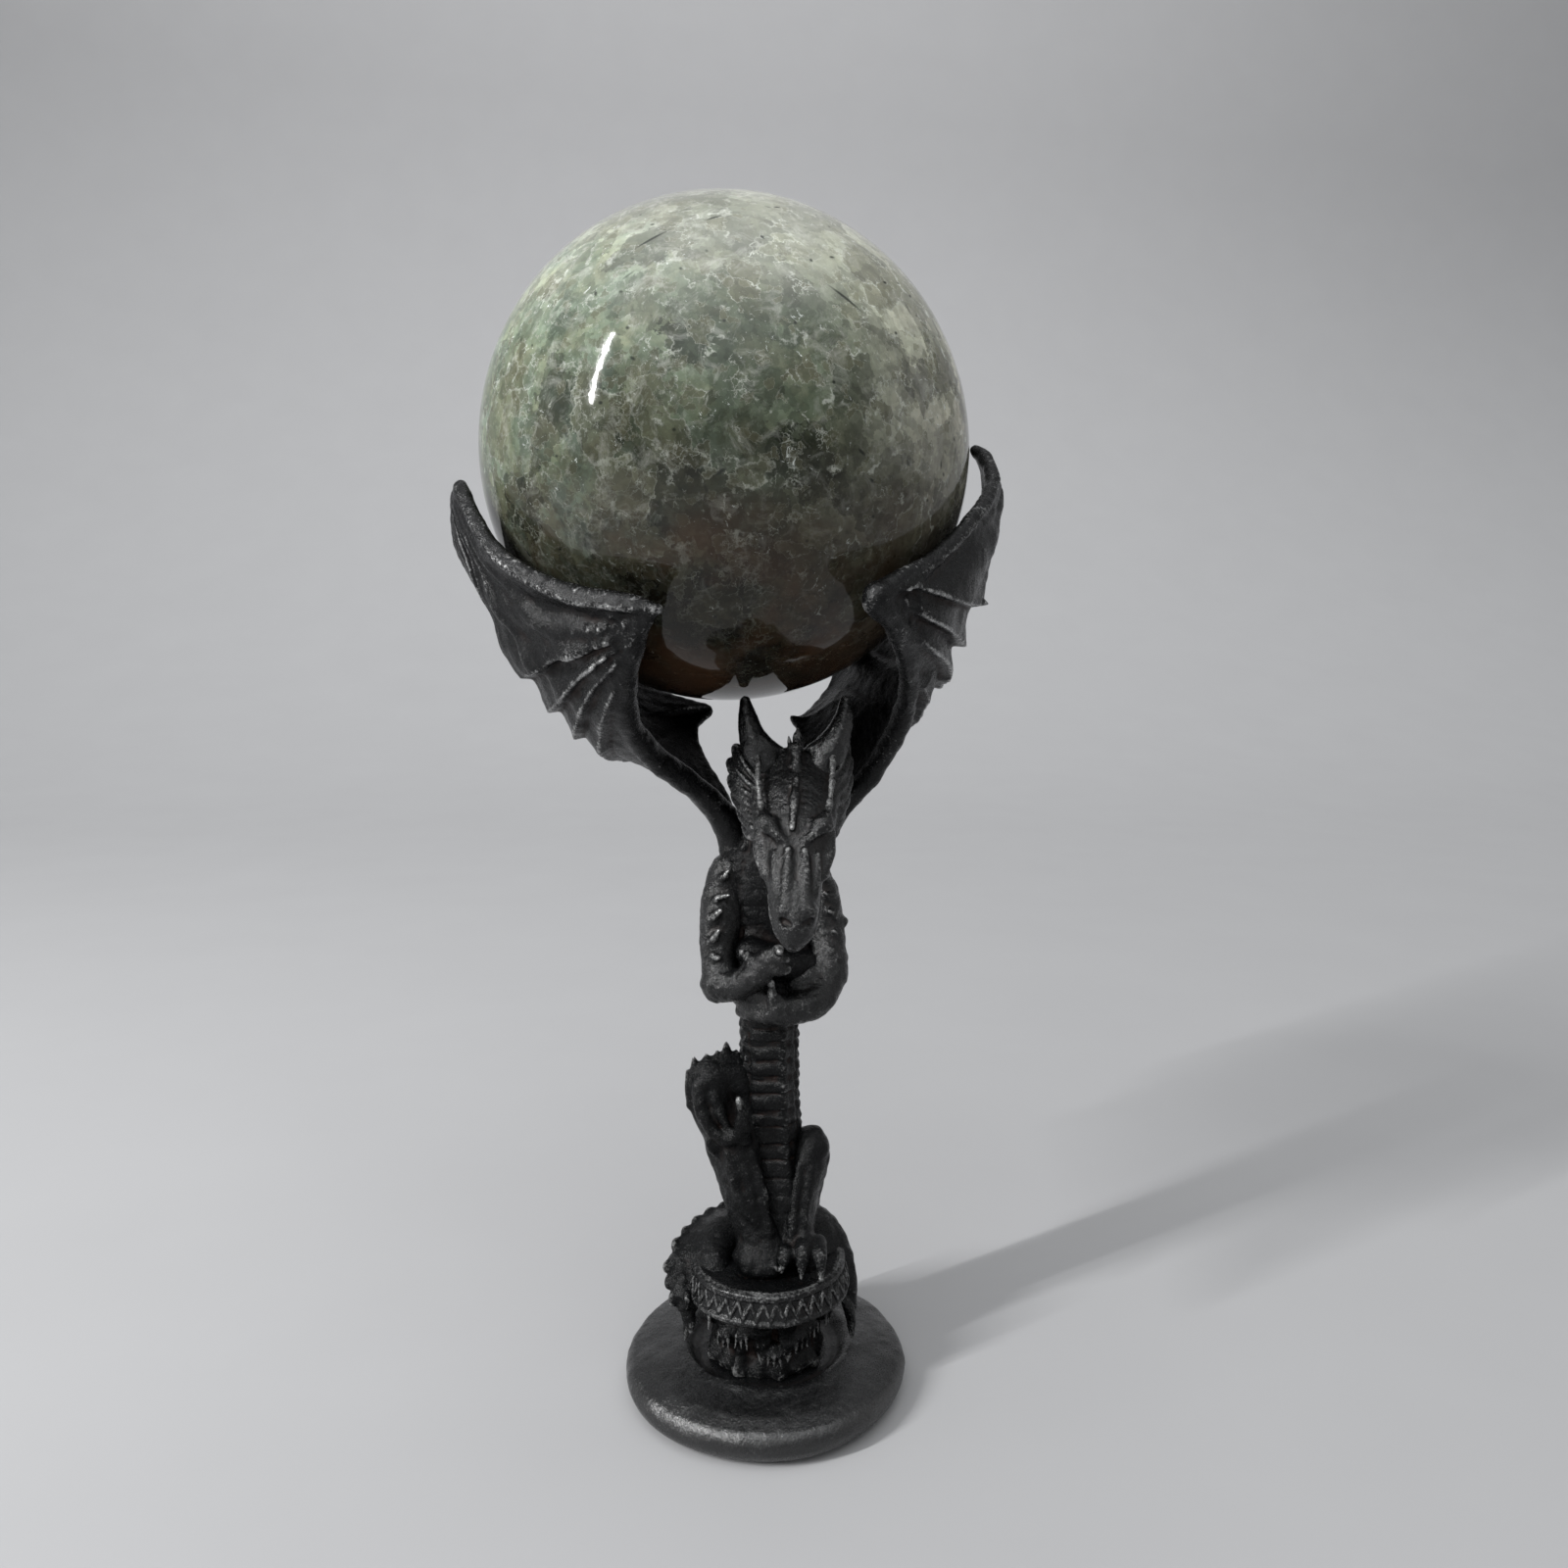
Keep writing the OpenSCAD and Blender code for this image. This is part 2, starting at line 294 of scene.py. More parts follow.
    def fire(self, name, material, nodes, body="stand"):
        """Turns the clay into a mesh piece that stands for some CAD nodes.

        Its vertices say how far they stand out of their close and their wider surroundings.
        """
        edge = 3 * self.cell
        band = np.pad(np.clip(self.field, -edge, edge), 1, constant_values=edge)
        grid = vdb.FloatGrid(background=edge)
        grid.copyFromArray(band.astype(np.float32))
        grid.transform = vdb.createLinearTransform(voxelSize=1.0)
        points, quads = grid.convertToQuads(isovalue=0.0)
        place = points - 1.0
        values = {}
        for key, limit, reach, fewest, full in (("ridge", 1.2, 0.45, 1, 0.18), ("swell", 3.0, 1.5, 2, 0.6)):
            around = box_blur(np.clip(self.field, -limit, limit), max(fewest, round(reach / self.cell)))
            values[key] = (sample(around, place) - sample(self.field, place)) / full
        world = np.stack(self.in_row(*(self.lowest + place * self.cell).T), -1)
        return piece(name, world, quads, material, nodes, body, values)


def sample(field, place):
    """Values of the field at fractional grid places."""
    top = np.array(field.shape) - 2
    i = np.clip(np.floor(place).astype(int), 0, top)
    f = np.clip(place - i, 0, 1).astype(np.float32)
    total = 0
    for dx in (0, 1):
        for dy in (0, 1):
            for dz in (0, 1):
                w = (f[:, 0] if dx else 1 - f[:, 0]) * (f[:, 1] if dy else 1 - f[:, 1])
                w = w * (f[:, 2] if dz else 1 - f[:, 2])
                total = total + w * field[i[:, 0] + dx, i[:, 1] + dy, i[:, 2] + dz]
    return total


def read(items, key):
    """A vector from each item of a mesh, as rows."""
    values = np.empty(3 * len(items))
    items.foreach_get(key, values)
    return values.reshape(-1, 3)


def note(mesh, key, values):
    """Keeps a number at each vertex, for the material to read."""
    layer = mesh.attributes.new(key, "FLOAT", "POINT")
    layer.data.foreach_set("value", np.asarray(values, np.float32))


def piece(name, points, faces, material, nodes, body, values):
    """A mesh object from points in millimetres, tied to a body and to the nodes it stands for."""
    mesh = bpy.data.meshes.new(name)
    mesh.from_pydata((np.asarray(points) * MM).tolist(), [], np.asarray(faces).tolist())
    mesh.update()
    mesh.polygons.foreach_set("use_smooth", [True] * len(mesh.polygons))
    for key, value in values.items():
        note(mesh, key, value)
    mesh.materials.append(material)
    obj = bpy.data.objects.new(name, mesh)
    bpy.context.scene.collection.objects.link(obj)
    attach(obj, body)
    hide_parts(*nodes)
    return obj


# ---------------------------------------------------------------- materials


class Nodes:
    """A short way to write a node tree: each method adds a node and gives its output."""

    def __init__(self, tree):
        self.tree = tree

    def add(self, kind, **settings):
        """A node of a kind, with its settings."""
        node = self.tree.nodes.new(kind)
        for key, value in settings.items():
            setattr(node, key, value)
        return node

    def feed(self, socket, value):
        """Links an output to a socket, or sets the socket to a number that is the same all over."""
        if isinstance(value, bpy.types.NodeSocket):
            self.tree.links.new(value, socket)
        else:
            socket.default_value = value

    def vector(self, operation, *values):
        """A step of vector arithmetic."""
        node = self.add("ShaderNodeVectorMath", operation=operation)
        for socket, value in zip(node.inputs, values):
            self.feed(socket, value)
        return node.outputs["Value" if operation == "DOT_PRODUCT" else "Vector"]

    def split(self, vector):
        """The three parts of a vector or a colour."""
        node = self.add("ShaderNodeSeparateXYZ")
        self.feed(node.inputs[0], vector)
        return node.outputs

    def math(self, operation, *values):
        """A step of arithmetic."""
        node = self.add("ShaderNodeMath", operation=operation)
        for socket, value in zip(node.inputs, values):
            self.feed(socket, value)
        return node.outputs[0]

    def times(self, a, b):
        return self.math("MULTIPLY", a, b)

    def plus(self, a, b):
        return self.math("ADD", a, b)

    def span(self, value, low, high, to_low=0.0, to_high=1.0, kind="LINEAR"):
        """value taken from low..high to to_low..to_high, and held there outside."""
        node = self.add("ShaderNodeMapRange", interpolation_type=kind)
        limits = {"Value": value, "From Min": low, "From Max": high, "To Min": to_low, "To Max": to_high}
        for key, limit in limits.items():
            self.feed(node.inputs[key], limit)
        return node.outputs["Result"]

    def ramp(self, value, *stops):
        """Colours along a value, from stops that are each a place and a colour."""
        node = self.add("ShaderNodeValToRGB")
        points = node.color_ramp.elements
        while len(points) < len(stops):
            points.new(0.5)
        for point, (at, colour) in zip(points, stops):
            point.position = at
            point.color = (*colour, 1)
        self.feed(node.inputs["Fac"], value)
        return node.outputs["Color"]


class Shader(Nodes):
    """A short way to write a material, with patterns placed in the row's frame."""

    def __init__(self, name):
        self.material = bpy.data.materials.new(name)
        self.material.use_nodes = True
        super().__init__(self.material.node_tree)
        self.surface = self.tree.nodes["Principled BSDF"]
        self.where = self.add("ShaderNodeTexCoord").outputs["Object"]

    def value(self, name):
        """A number kept at the vertices."""
        return self.add("ShaderNodeAttribute", attribute_name=name).outputs["Fac"]

    def placed(self, stretch=(1, 1, 1), turn=(0, 0, 0), shift=0.0, source=None):
        """The place, stretched, turned and shifted."""
        node = self.add("ShaderNodeMapping")
        self.feed(node.inputs["Vector"], source or self.where)
        self.feed(node.inputs["Scale"], stretch)
        self.feed(node.inputs["Rotation"], turn)
        self.feed(node.inputs["Location"], (shift, shift * 0.7, -shift * 0.4))
        return node.outputs["Vector"]

    def noise(self, per_mm, detail, rough=0.55, stretch=(1, 1, 1), warp=0.0, shift=0.0, out="Fac"):
        """Noise with per_mm features in a millimetre."""
        node = self.add("ShaderNodeTexNoise")
        self.feed(node.inputs["Vector"], self.placed(stretch, shift=shift))
        self.feed(node.inputs["Scale"], per_mm / MM)
        self.feed(node.inputs["Detail"], detail)
        self.feed(node.inputs["Roughness"], rough)
        self.feed(node.inputs["Distortion"], warp)
        return node.outputs[out]

    def cells(self, per_mm, source, feature="F1", out="Distance"):
        """Cells, per_mm of them in a millimetre."""
        node = self.add("ShaderNodeTexVoronoi", feature=feature)
        self.feed(node.inputs["Vector"], source)
        self.feed(node.inputs["Scale"], per_mm / MM)
        return node.outputs[out]

    def mix(self, share, a, b):
        """Colour a, with a share of colour b."""
        node = self.add("ShaderNodeMix", data_type="RGBA")
        self.feed(node.inputs["Factor"], share)
        for socket, value in ((node.inputs[6], a), (node.inputs[7], b)):
            self.feed(socket, value if isinstance(value, bpy.types.NodeSocket) else (*value, 1))
        return node.outputs[2]

    def scaled(self, vector, amount):
        """A vector made longer, or a colour lighter, by a number."""
        node = self.add("ShaderNodeVectorMath", operation="SCALE")
        self.feed(node.inputs[0], vector)
        self.feed(node.inputs["Scale"], amount)
        return node.outputs[0]

    def bump(self, height, depth_mm, under=None):
        """A normal for relief of a depth, over the relief under it."""
        node = self.add("ShaderNodeBump")
        self.feed(node.inputs["Strength"], 1.0)
        self.feed(node.inputs["Distance"], depth_mm * MM)
        self.feed(node.inputs["Height"], height)
        if under is not None:
            self.feed(node.inputs["Normal"], under)
        return node.outputs["Normal"]

    def finish(self, **inputs):
        """The material, with the surface's sockets set; a name's underscores stand for spaces."""
        for key, value in inputs.items():
            self.feed(self.surface.inputs[key.replace("_", " ")], value)
        return self.material


def cast_metal(name, wear=1.0, smooth=0.0, grit=1.0, sheen=0.45, shade_inside=False):
    """Blackened cast metal, worn to bare grey metal where it stands out; one made for a wing gets painted shade on
    the faces that look toward the ball, as less bare metal and a weaker sheen.
    """
    s = Shader(name)
    ridge = s.value("ridge")
    swell = s.value("swell")
    patches = s.noise(0.2, detail=5, rough=0.62)
    grain = s.noise(2.2, detail=6, rough=0.75)
    painted_glint = s.noise(4.6, detail=3, rough=0.6, shift=3.0)
    standing = s.plus(s.times(ridge, 0.85), s.times(swell, 0.25))
    broken = s.math("SUBTRACT", s.plus(s.times(patches, 1.3), s.times(grain, 2.8)), 2.05)
    worn = s.times(s.span(s.plus(standing, broken), 0.6, 1.5), 0.85 * wear)
    if shade_inside:
        # painted shade: faces that look toward the ball lose most of their bare metal and their sheen
        inside = s.value("inside")
        worn = s.times(worn, s.span(inside, 0.1, 0.7, 1.0, 0.15))
        sheen = s.span(inside, 0.1, 0.7, sheen, 0.07)
    sunk = s.span(s.plus(s.times(ridge, -0.8), s.times(swell, -0.7)), 0.1, 0.9)
    black = s.mix(s.span(patches, 0.3, 0.7), (0.0008, 0.0009, 0.001), (0.003, 0.0032, 0.0035))
    # painted glints: light grey specks in the black that stand in for sparkle on the grain
    black = s.mix(s.times(s.span(painted_glint, 0.62, 0.78), 0.4), black, (0.075, 0.078, 0.08))
    dirt = s.mix(s.span(patches, 0.4, 0.62), (0.013, 0.0055, 0.0035), (0.0012, 0.0012, 0.0014))
    colour = s.mix(s.times(sunk, 0.85), black, dirt)
    colour = s.mix(worn, colour, s.mix(grain, (0.2, 0.205, 0.21), (0.62, 0.62, 0.61)))
    rough = s.plus(s.span(grain, 0.3, 0.7, 0.2 - 0.03 * smooth, 0.34 - 0.06 * smooth), s.times(sunk, 0.25))
    creases = s.noise(0.75, detail=4, rough=0.6, warp=0.6, shift=12.0)
    normal = s.bump(patches, 0.2 * grit)
    normal = s.bump(creases, 0.2 * grit, normal)
    normal = s.bump(grain, 0.13 * grit * (1 - 0.5 * smooth), normal)
    return s.finish(Base_Color=colour, Metallic=s.span(worn, 0.0, 0.8, 0.04, 1.0), Roughness=rough, Normal=normal,
                    Specular_IOR_Level=sheen)


def polished_stone(name):
    """Green grey mottled stone with pale veins, patches and fine dark needles, under a high polish; its colour also
    holds painted light and reflection: lit and shaded copies, a pale top, a dark bottom and a paler right side.
    """
    s = Shader(name)
    axes = s.split(s.vector("SUBTRACT", s.where, tuple(BALL * MM)))
    side = s.math("DIVIDE", axes[0], BALL_R * MM)
    facing = s.math("DIVIDE", axes[1], -BALL_R * MM)
    height = s.math("DIVIDE", axes[2], BALL_R * MM)

    cloud = s.noise(0.05, detail=6, rough=0.62, warp=0.5)
    mottle = s.noise(0.16, detail=8, rough=0.7, warp=0.5, shift=1.0)
    fine = s.noise(0.9, detail=6, rough=0.75, shift=2.0)

    def wobble(amount_mm, per_mm, shift):
        """The place, pushed about by noise, so that cell edges aren't straight."""
        push = s.noise(per_mm, detail=5, rough=0.65, shift=shift, out="Color")
        away = s.vector("SUBTRACT", push, (0.5, 0.5, 0.5))
        return s.vector("ADD", s.where, s.scaled(away, amount_mm * MM * 2))

    # darker and browner towards the bottom, paler towards the top: partly the stone's own brown lower zone, partly
    # painted reflection of the light overhead and of the dark wings and surroundings below
    upward = s.plus(height, s.times(s.math("SUBTRACT", cloud, 0.5), 1.3))
    base = s.ramp(
        s.span(upward, -1.1, 1.15),
        (0.0, (0.016, 0.012, 0.008)),
        (0.2, (0.026, 0.021, 0.013)),
        (0.34, (0.045, 0.045, 0.029)),
        (0.5, (0.088, 0.108, 0.07)),
        (0.66, (0.14, 0.17, 0.118)),
        (0.78, (0.225, 0.24, 0.188)),
        (0.9, (0.33, 0.34, 0.29)),
        (1.0, (0.42, 0.425, 0.385)),
    )
    # painted light: each tint below is mixed from a shaded copy and a lit copy by this height, darker low on the ball
    # and lighter high
    light = s.span(height, -0.85, 0.75)
    # painted shade: darker where the ball faces the camera, lighter toward its rim
    middle = s.math("SUBTRACT", facing, s.times(s.math("ABSOLUTE", height), 0.4))
    base = s.scaled(base, s.span(middle, 0.5, 0.9, 1.1, 0.72))
    teal = s.times(s.span(mottle, 0.48, 0.62), s.span(side, 0.4, -0.5, 0.0, 0.65))
    base = s.mix(teal, base, s.mix(light, (0.034, 0.046, 0.036), (0.16, 0.205, 0.16)))
    olive = s.times(s.span(mottle, 0.5, 0.36), s.span(side, 0.9, -0.9, 0.35, 0.8))
    base = s.mix(olive, base, s.mix(light, (0.03, 0.03, 0.018), (0.235, 0.25, 0.17)))
    # painted reflection: a pale warm haze over the right side, broken up by cloud, for a soft light at the right
    painted_right_glare = s.times(s.span(side, 0.2, 0.95), s.span(cloud, 0.35, 0.6, 0.3, 0.85))
    base = s.mix(painted_right_glare, base, s.mix(light, (0.075, 0.065, 0.05), (0.52, 0.49, 0.41)))

    # angular patches of three sizes, each with its own tone; a few are olive with a crisp pale rim
    for per_mm, push, shift, strength in ((0.14, 4.2, 2.0, 0.42), (0.34, 2.0, 6.0, 0.32), (0.9, 0.8, 9.0, 0.22)):
        place = wobble(push, per_mm * 1.3, shift)
        tell = s.split(s.cells(per_mm, place, out="Color"))
        tone = s.span(tell[0], 0.0, 1.0, 1.0 - strength, 1.0 + strength)
        base = s.scaled(base, tone)
        chosen = s.math("LESS_THAN", tell[1], 0.12)
        base = s.mix(s.times(chosen, 0.5), base, s.mix(light, (0.022, 0.02, 0.011), (0.15, 0.15, 0.095)))
        edge = s.cells(per_mm, place, feature="DISTANCE_TO_EDGE")
        seam = s.span(s.noise(0.3, detail=5, shift=shift + 9), 0.575, 0.63)
        rim = s.times(s.span(edge, 0.055, 0.015), s.math("MAXIMUM", s.times(chosen, 0.55), seam))
        base = s.mix(s.times(rim, 0.62), base, s.mix(light, (0.13, 0.14, 0.11), (0.66, 0.69, 0.62)))
    base = s.scaled(base, s.span(fine, 0.25, 0.75, 0.8, 1.22))

    # painted reflection: paler and flatter toward the top, broken up by cloud, for the light overhead
    painted_top_glare = s.times(s.span(s.plus(height, s.times(cloud, 0.5)), 0.55, 1.1), 0.42)
    base = s.mix(painted_top_glare, base, (0.43, 0.435, 0.385))
    # painted light and shade: darker toward the bottom, lighter on the right, and darker in a band left of the middle
    tone = s.times(s.span(height, -0.6, 0.5, 0.5, 0.84), s.span(side, -0.05, 0.75, 1.0, 1.55))
    left = s.math("ABSOLUTE", s.plus(side, 0.36))
    tone = s.times(tone, s.span(left, 0.05, 0.4, 0.72, 1.0))
    base = s.scaled(base, tone)
    haze = s.times(s.span(s.noise(0.3, detail=8, rough=0.75, warp=0.8, shift=5.0), 0.52, 0.75), 0.45)
    base = s.mix(haze, base, s.mix(light, (0.06, 0.062, 0.05), (0.6, 0.61, 0.56)))
    fleck = s.noise(0.5, detail=8, rough=0.8, warp=1.4, shift=18.0)
    specks = s.times(s.span(fleck, 0.62, 0.66), s.span(s.noise(0.13, detail=3, shift=20.0), 0.44, 0.52))
    base = s.mix(s.times(specks, 0.9), base, s.mix(light, (0.22, 0.24, 0.21), (0.8, 0.84, 0.82)))

    def needles(per_mm, width, ways):
        """Scattered straight hairs; each way is the turn that they lie at and a shift."""
        found = 0.0
        for turn, shift in ways:
            found = s.math("MAXIMUM", found, hairs_one_way(turn, per_mm, shift, width))
        return found

    def hairs_one_way(turn, per_mm, shift, width):
        """Those hairs that lie one way: long thin cells, a share of which show."""
        place = s.placed(stretch=(1.0, 1.0, 0.09), source=s.placed(turn=turn, shift=shift))
        near = s.cells(per_mm, place)
        chosen = s.math("LESS_THAN", s.split(s.cells(per_mm, place, out="Color"))[1], 0.4)
        return s.times(s.span(near, width, width * 0.4), chosen)

    pale = needles(0.8, 0.08, (((0.15, 0.5, 0.1), 7.0), ((-0.1, 1.2, 0.2), 8.0), ((0.2, 1.9, 0.1), 9.0),
                               ((1.4, 0.3, 0.9), 11.0)))
    base = s.mix(s.times(pale, 0.32), base, s.mix(light, (0.13, 0.14, 0.12), (0.62, 0.65, 0.6)))
    dark = needles(0.42, 0.12, (((0.1, 0.35, 0.0), 1.0), ((-0.1, 1.0, 0.1), 2.0), ((0.15, 2.1, 0.1), 3.0),
                                ((1.5, 0.2, 0.6), 4.0)))
    base = s.mix(s.times(dark, 0.85), base, (0.008, 0.01, 0.008))

    # browner toward the bottom: partly the stone's own brown zone, partly painted reflection of the dark wings below
    brown_bottom = s.times(s.span(height, -0.2, -0.6), s.span(s.noise(0.07, detail=6, shift=30.0), 0.42, 0.6))
    base = s.mix(s.times(brown_bottom, 0.6), base, (0.062, 0.03, 0.015))
    rough = s.plus(s.span(fine, 0.3, 0.7, 0.035, 0.075), s.times(specks, 0.12))
    normal = s.bump(s.noise(0.5, detail=3, shift=40.0), 0.012)
    return s.finish(Base_Color=base, Roughness=rough, Normal=normal, Specular_IOR_Level=0.26, IOR=1.54,
                    Subsurface_Weight=0.1, Subsurface_Scale=2.0 * MM,
                    Subsurface_Radius=(1.0, 1.1, 0.8))


def soft_pad(name):
    """Black foam rubber with fine pores."""
    s = Shader(name)
    pores = s.cells(2.2, s.placed())
    fuzz = s.noise(3.0, detail=5, rough=0.7)
    colour = s.mix(fuzz, (0.012, 0.012, 0.013), (0.035, 0.034, 0.035))
    normal = s.bump(fuzz, 0.15, s.bump(pores, 0.2))
    return s.finish(Base_Color=colour, Roughness=s.span(fuzz, 0.3, 0.7, 0.8, 0.95), Normal=normal)


def plated_steel(name):
    """Bright steel, brushed one way."""
    s = Shader(name)
    swirl = s.noise(1.2, detail=5, rough=0.6)
    brushed = s.noise(3.0, detail=4, stretch=(1, 1, 6))
    colour = s.mix(swirl, (0.42, 0.43, 0.45), (0.6, 0.6, 0.58))
    return s.finish(Base_Color=colour, Metallic=1.0, Roughness=s.span(brushed, 0.3, 0.7, 0.22, 0.42),
                    Normal=s.bump(brushed, 0.03))


METAL = cast_metal("blackened_cast_metal", wear=0.85, sheen=0.4)
# a darker copy for the lower body, with less bare metal and a weaker sheen: partly painted shade, partly dirt
BODY_METAL = cast_metal("blackened_body_metal", wear=0.6, grit=1.1, sheen=0.16)
RING_METAL = cast_metal("blackened_ring_metal", wear=0.45, grit=0.5, sheen=0.3)
# the wing metal, with painted shade on its faces that look toward the ball
WING_METAL = cast_metal("blackened_wing_metal", wear=1.15, smooth=0.35, grit=1.0, sheen=0.22, shade_inside=True)
HORN_METAL = cast_metal("blackened_horn_metal", wear=0.95, smooth=0.3, grit=0.8, sheen=0.5)
FOOT_METAL = cast_metal("blackened_foot_metal", wear=1.0, smooth=0.1, grit=0.7, sheen=0.75)
STONE = polished_stone("polished_stone")
PAD = soft_pad("soft_black_pad")
STEEL = plated_steel("plated_steel")


# ---------------------------------------------------------------- foot, pedestal and ring


FOOT_TOP = 20.0  # height of the pedestal's top, which the figure's feet stand on


def model_base_disc():
    """The round foot: a rolled rim, a shallow slope and a raised ring round the pedestal."""
    clay = Clay((-23, -23, -0.5), (23, 23, 8), 0.2)
    foot_radius, roll, roll_height = 21.5, 2.6, 3.0
    rim = [(foot_radius - roll + roll * math.sin(a), roll_height - roll * math.cos(a))
           for a in np.linspace(0, 0.8 * math.pi, 12)]
    top = [(19.2, 5.55), (18.0, 5.95), (16.5, 6.2), (14.6, 6.5), (13.2, 6.85), (12.5, 6.75), (11.9, 6.2), (11.2, 5.4),
           (10.2, 5.0), (2.3, 5.0)]
    under = [(2.3, 4.4), (4.5, 4.4), (4.5, 1.45), (18.5, 1.45), (18.5, 0.4)]

    def uneven(angle, z, radius):
        return 0.25 * np.sin(2 * angle + 0.6) * (radius > 17) + 0.14 * np.sin(5 * angle + 1.9) * (radius > 13)

    clay.lathe(rim + top + under, relief=uneven)
    upper = clay.axes()[2][None, None, :] > 2.5
    dents = ((0.26, 6.5, 3), (0.1, 2.4, 4), (0.05, 0.9, 5))
    clay.field += np.where(upper, sum(depth * smooth_noise(clay.axes(), pitch, seed) for depth, pitch, seed in dents),
                           0)
    clay.smooth()
    return clay.fire("base_disc_cast", FOOT_METAL, ["base_disc"])


def model_pedestal():
    """A waisted drum with folds below, and knobs, fringes and drooping scales round it."""
    clay = Clay((-16, -16, 4.5), (16, 16, 21), 0.2)
    outline = [(2.3, 5.1), (8.8, 5.1), (8.9, 5.9), (7.9, 8.0), (8.0, 10.6), (9.2, 13.3), (11.1, 15.8), (11.1, 20.0),
               (2.3, 20.0)]

    def folds(angle, z, radius):
        low_part = np.clip((15.5 - z) / 4, 0, 1)
        fine = 0.35 * np.sin(9 * angle + 0.4 * z) + 0.25 * np.sin(17 * angle + 1.0)
        return low_part * (fine + 0.15 * np.sin(4 * angle + z))

    clay.lathe(outline, relief=folds)
    lumps = [(-118, 12.0, 1.5), (-104, 12.6, 1.25), (-135, 11.4, 1.5), (-66, 11.6, 1.5), (-52, 12.4, 1.3),
             (-30, 12.8, 1.5), (-158, 12.8, 1.6), (-8, 11.8, 1.4), (20, 12.4, 1.5), (48, 12.0, 1.6), (80, 12.6, 1.5),
             (108, 12.0, 1.7), (140, 12.6, 1.5), (165, 12.2, 1.4), (-90, 9.4, 1.2), (-76, 10.8, 1.1)]
    for degrees, z, r in lumps:
        out = spoke(degrees)
        spot = out * 9.0 + [0, 0, z + 0.3]
        clay.lump(spot, (r, r * 0.8, r * 1.1), soft=1.0)
        for k in (-1, 0, 1):
            aside = np.array([-out[1], out[0], 0]) * 0.75 * k
            clay.rod([spot + out * 0.7 * r + aside, spot + out * 0.85 * r + aside * 1.3 - [0, 0, 1.8]], [0.4, 0.14],
                     soft=0.3)
    droops = ((-14, 7.4, 13.6), (194, 8.6, 13.2), (-78, 8.6, 10.1), (-101, 8.2, 10.0), (62, 8.4, 12.0),
              (122, 8.4, 12.0))
    root_z = 15.6
    for degrees, low_z, reach in droops:
        out = spoke(degrees)
        bend = out * (reach - 0.6) + [0, 0, (root_z + low_z) / 2 + 0.6]
        clay.blade([out * 10.8 + [0, 0, root_z], bend, out * reach + [0, 0, low_z]], 3.2, 1.5, out, soft=0.6)
    clay.roughen(0.2, 1.8, 11)
    clay.roughen(0.1, 0.8, 12)
    clay.cut_flat(5.1)
    return clay.fire("pedestal_cast", BODY_METAL, ["pedestal_drum"])


def model_zigzag_ring():
    """A band under the feet with one raised zigzag round it."""
    clay = Clay((-15, -15, 14.5), (15, 15, 21.5), 0.15)
    outline = [(11.1, 15.6), (12.3, 15.5), (12.85, 15.8), (12.9, 16.3), (12.5, 16.65), (11.9, 19.0), (12.15, 19.3),
               (12.0, 19.9), (11.5, 20.2), (11.1, 20.2)]
    clay.lathe(outline, relief=lambda a, z, r: 0.12 * np.sin(3 * a + 1) + 0.07 * np.sin(7 * a))
    teeth = 40
    part, (x, y, z) = clay.near([(-14, -14, 15), (14, 14, 21)], 0.5)
    angle = np.arctan2(y, x)
    wave = np.abs(((angle * teeth / (2 * math.pi)) % 1.0) * 2 - 1)
    rise, foot = 2.05, 16.85
    pitch = 2 * math.pi * 12.2 / teeth
    line = np.abs(z - foot - rise * wave) / math.sqrt(1 + (2 * rise / pitch) ** 2)
    slope = 12.42 - (z - 16.6) * 0.25
    depth = np.abs(np.sqrt(x * x + y * y) - slope) - 0.26
    zigzag = np.sqrt(line**2 + np.maximum(depth, 0) ** 2) - 0.25
    clay.join(part, np.maximum(zigzag, np.maximum(z - 19.2, 16.3 - z)), 0.22)
    clay.roughen(0.05, 0.9, 21)
    clay.roughen(0.07, 2.5, 22)
    return clay.fire("zigzag_ring_cast", RING_METAL, ["zigzag_ring"])


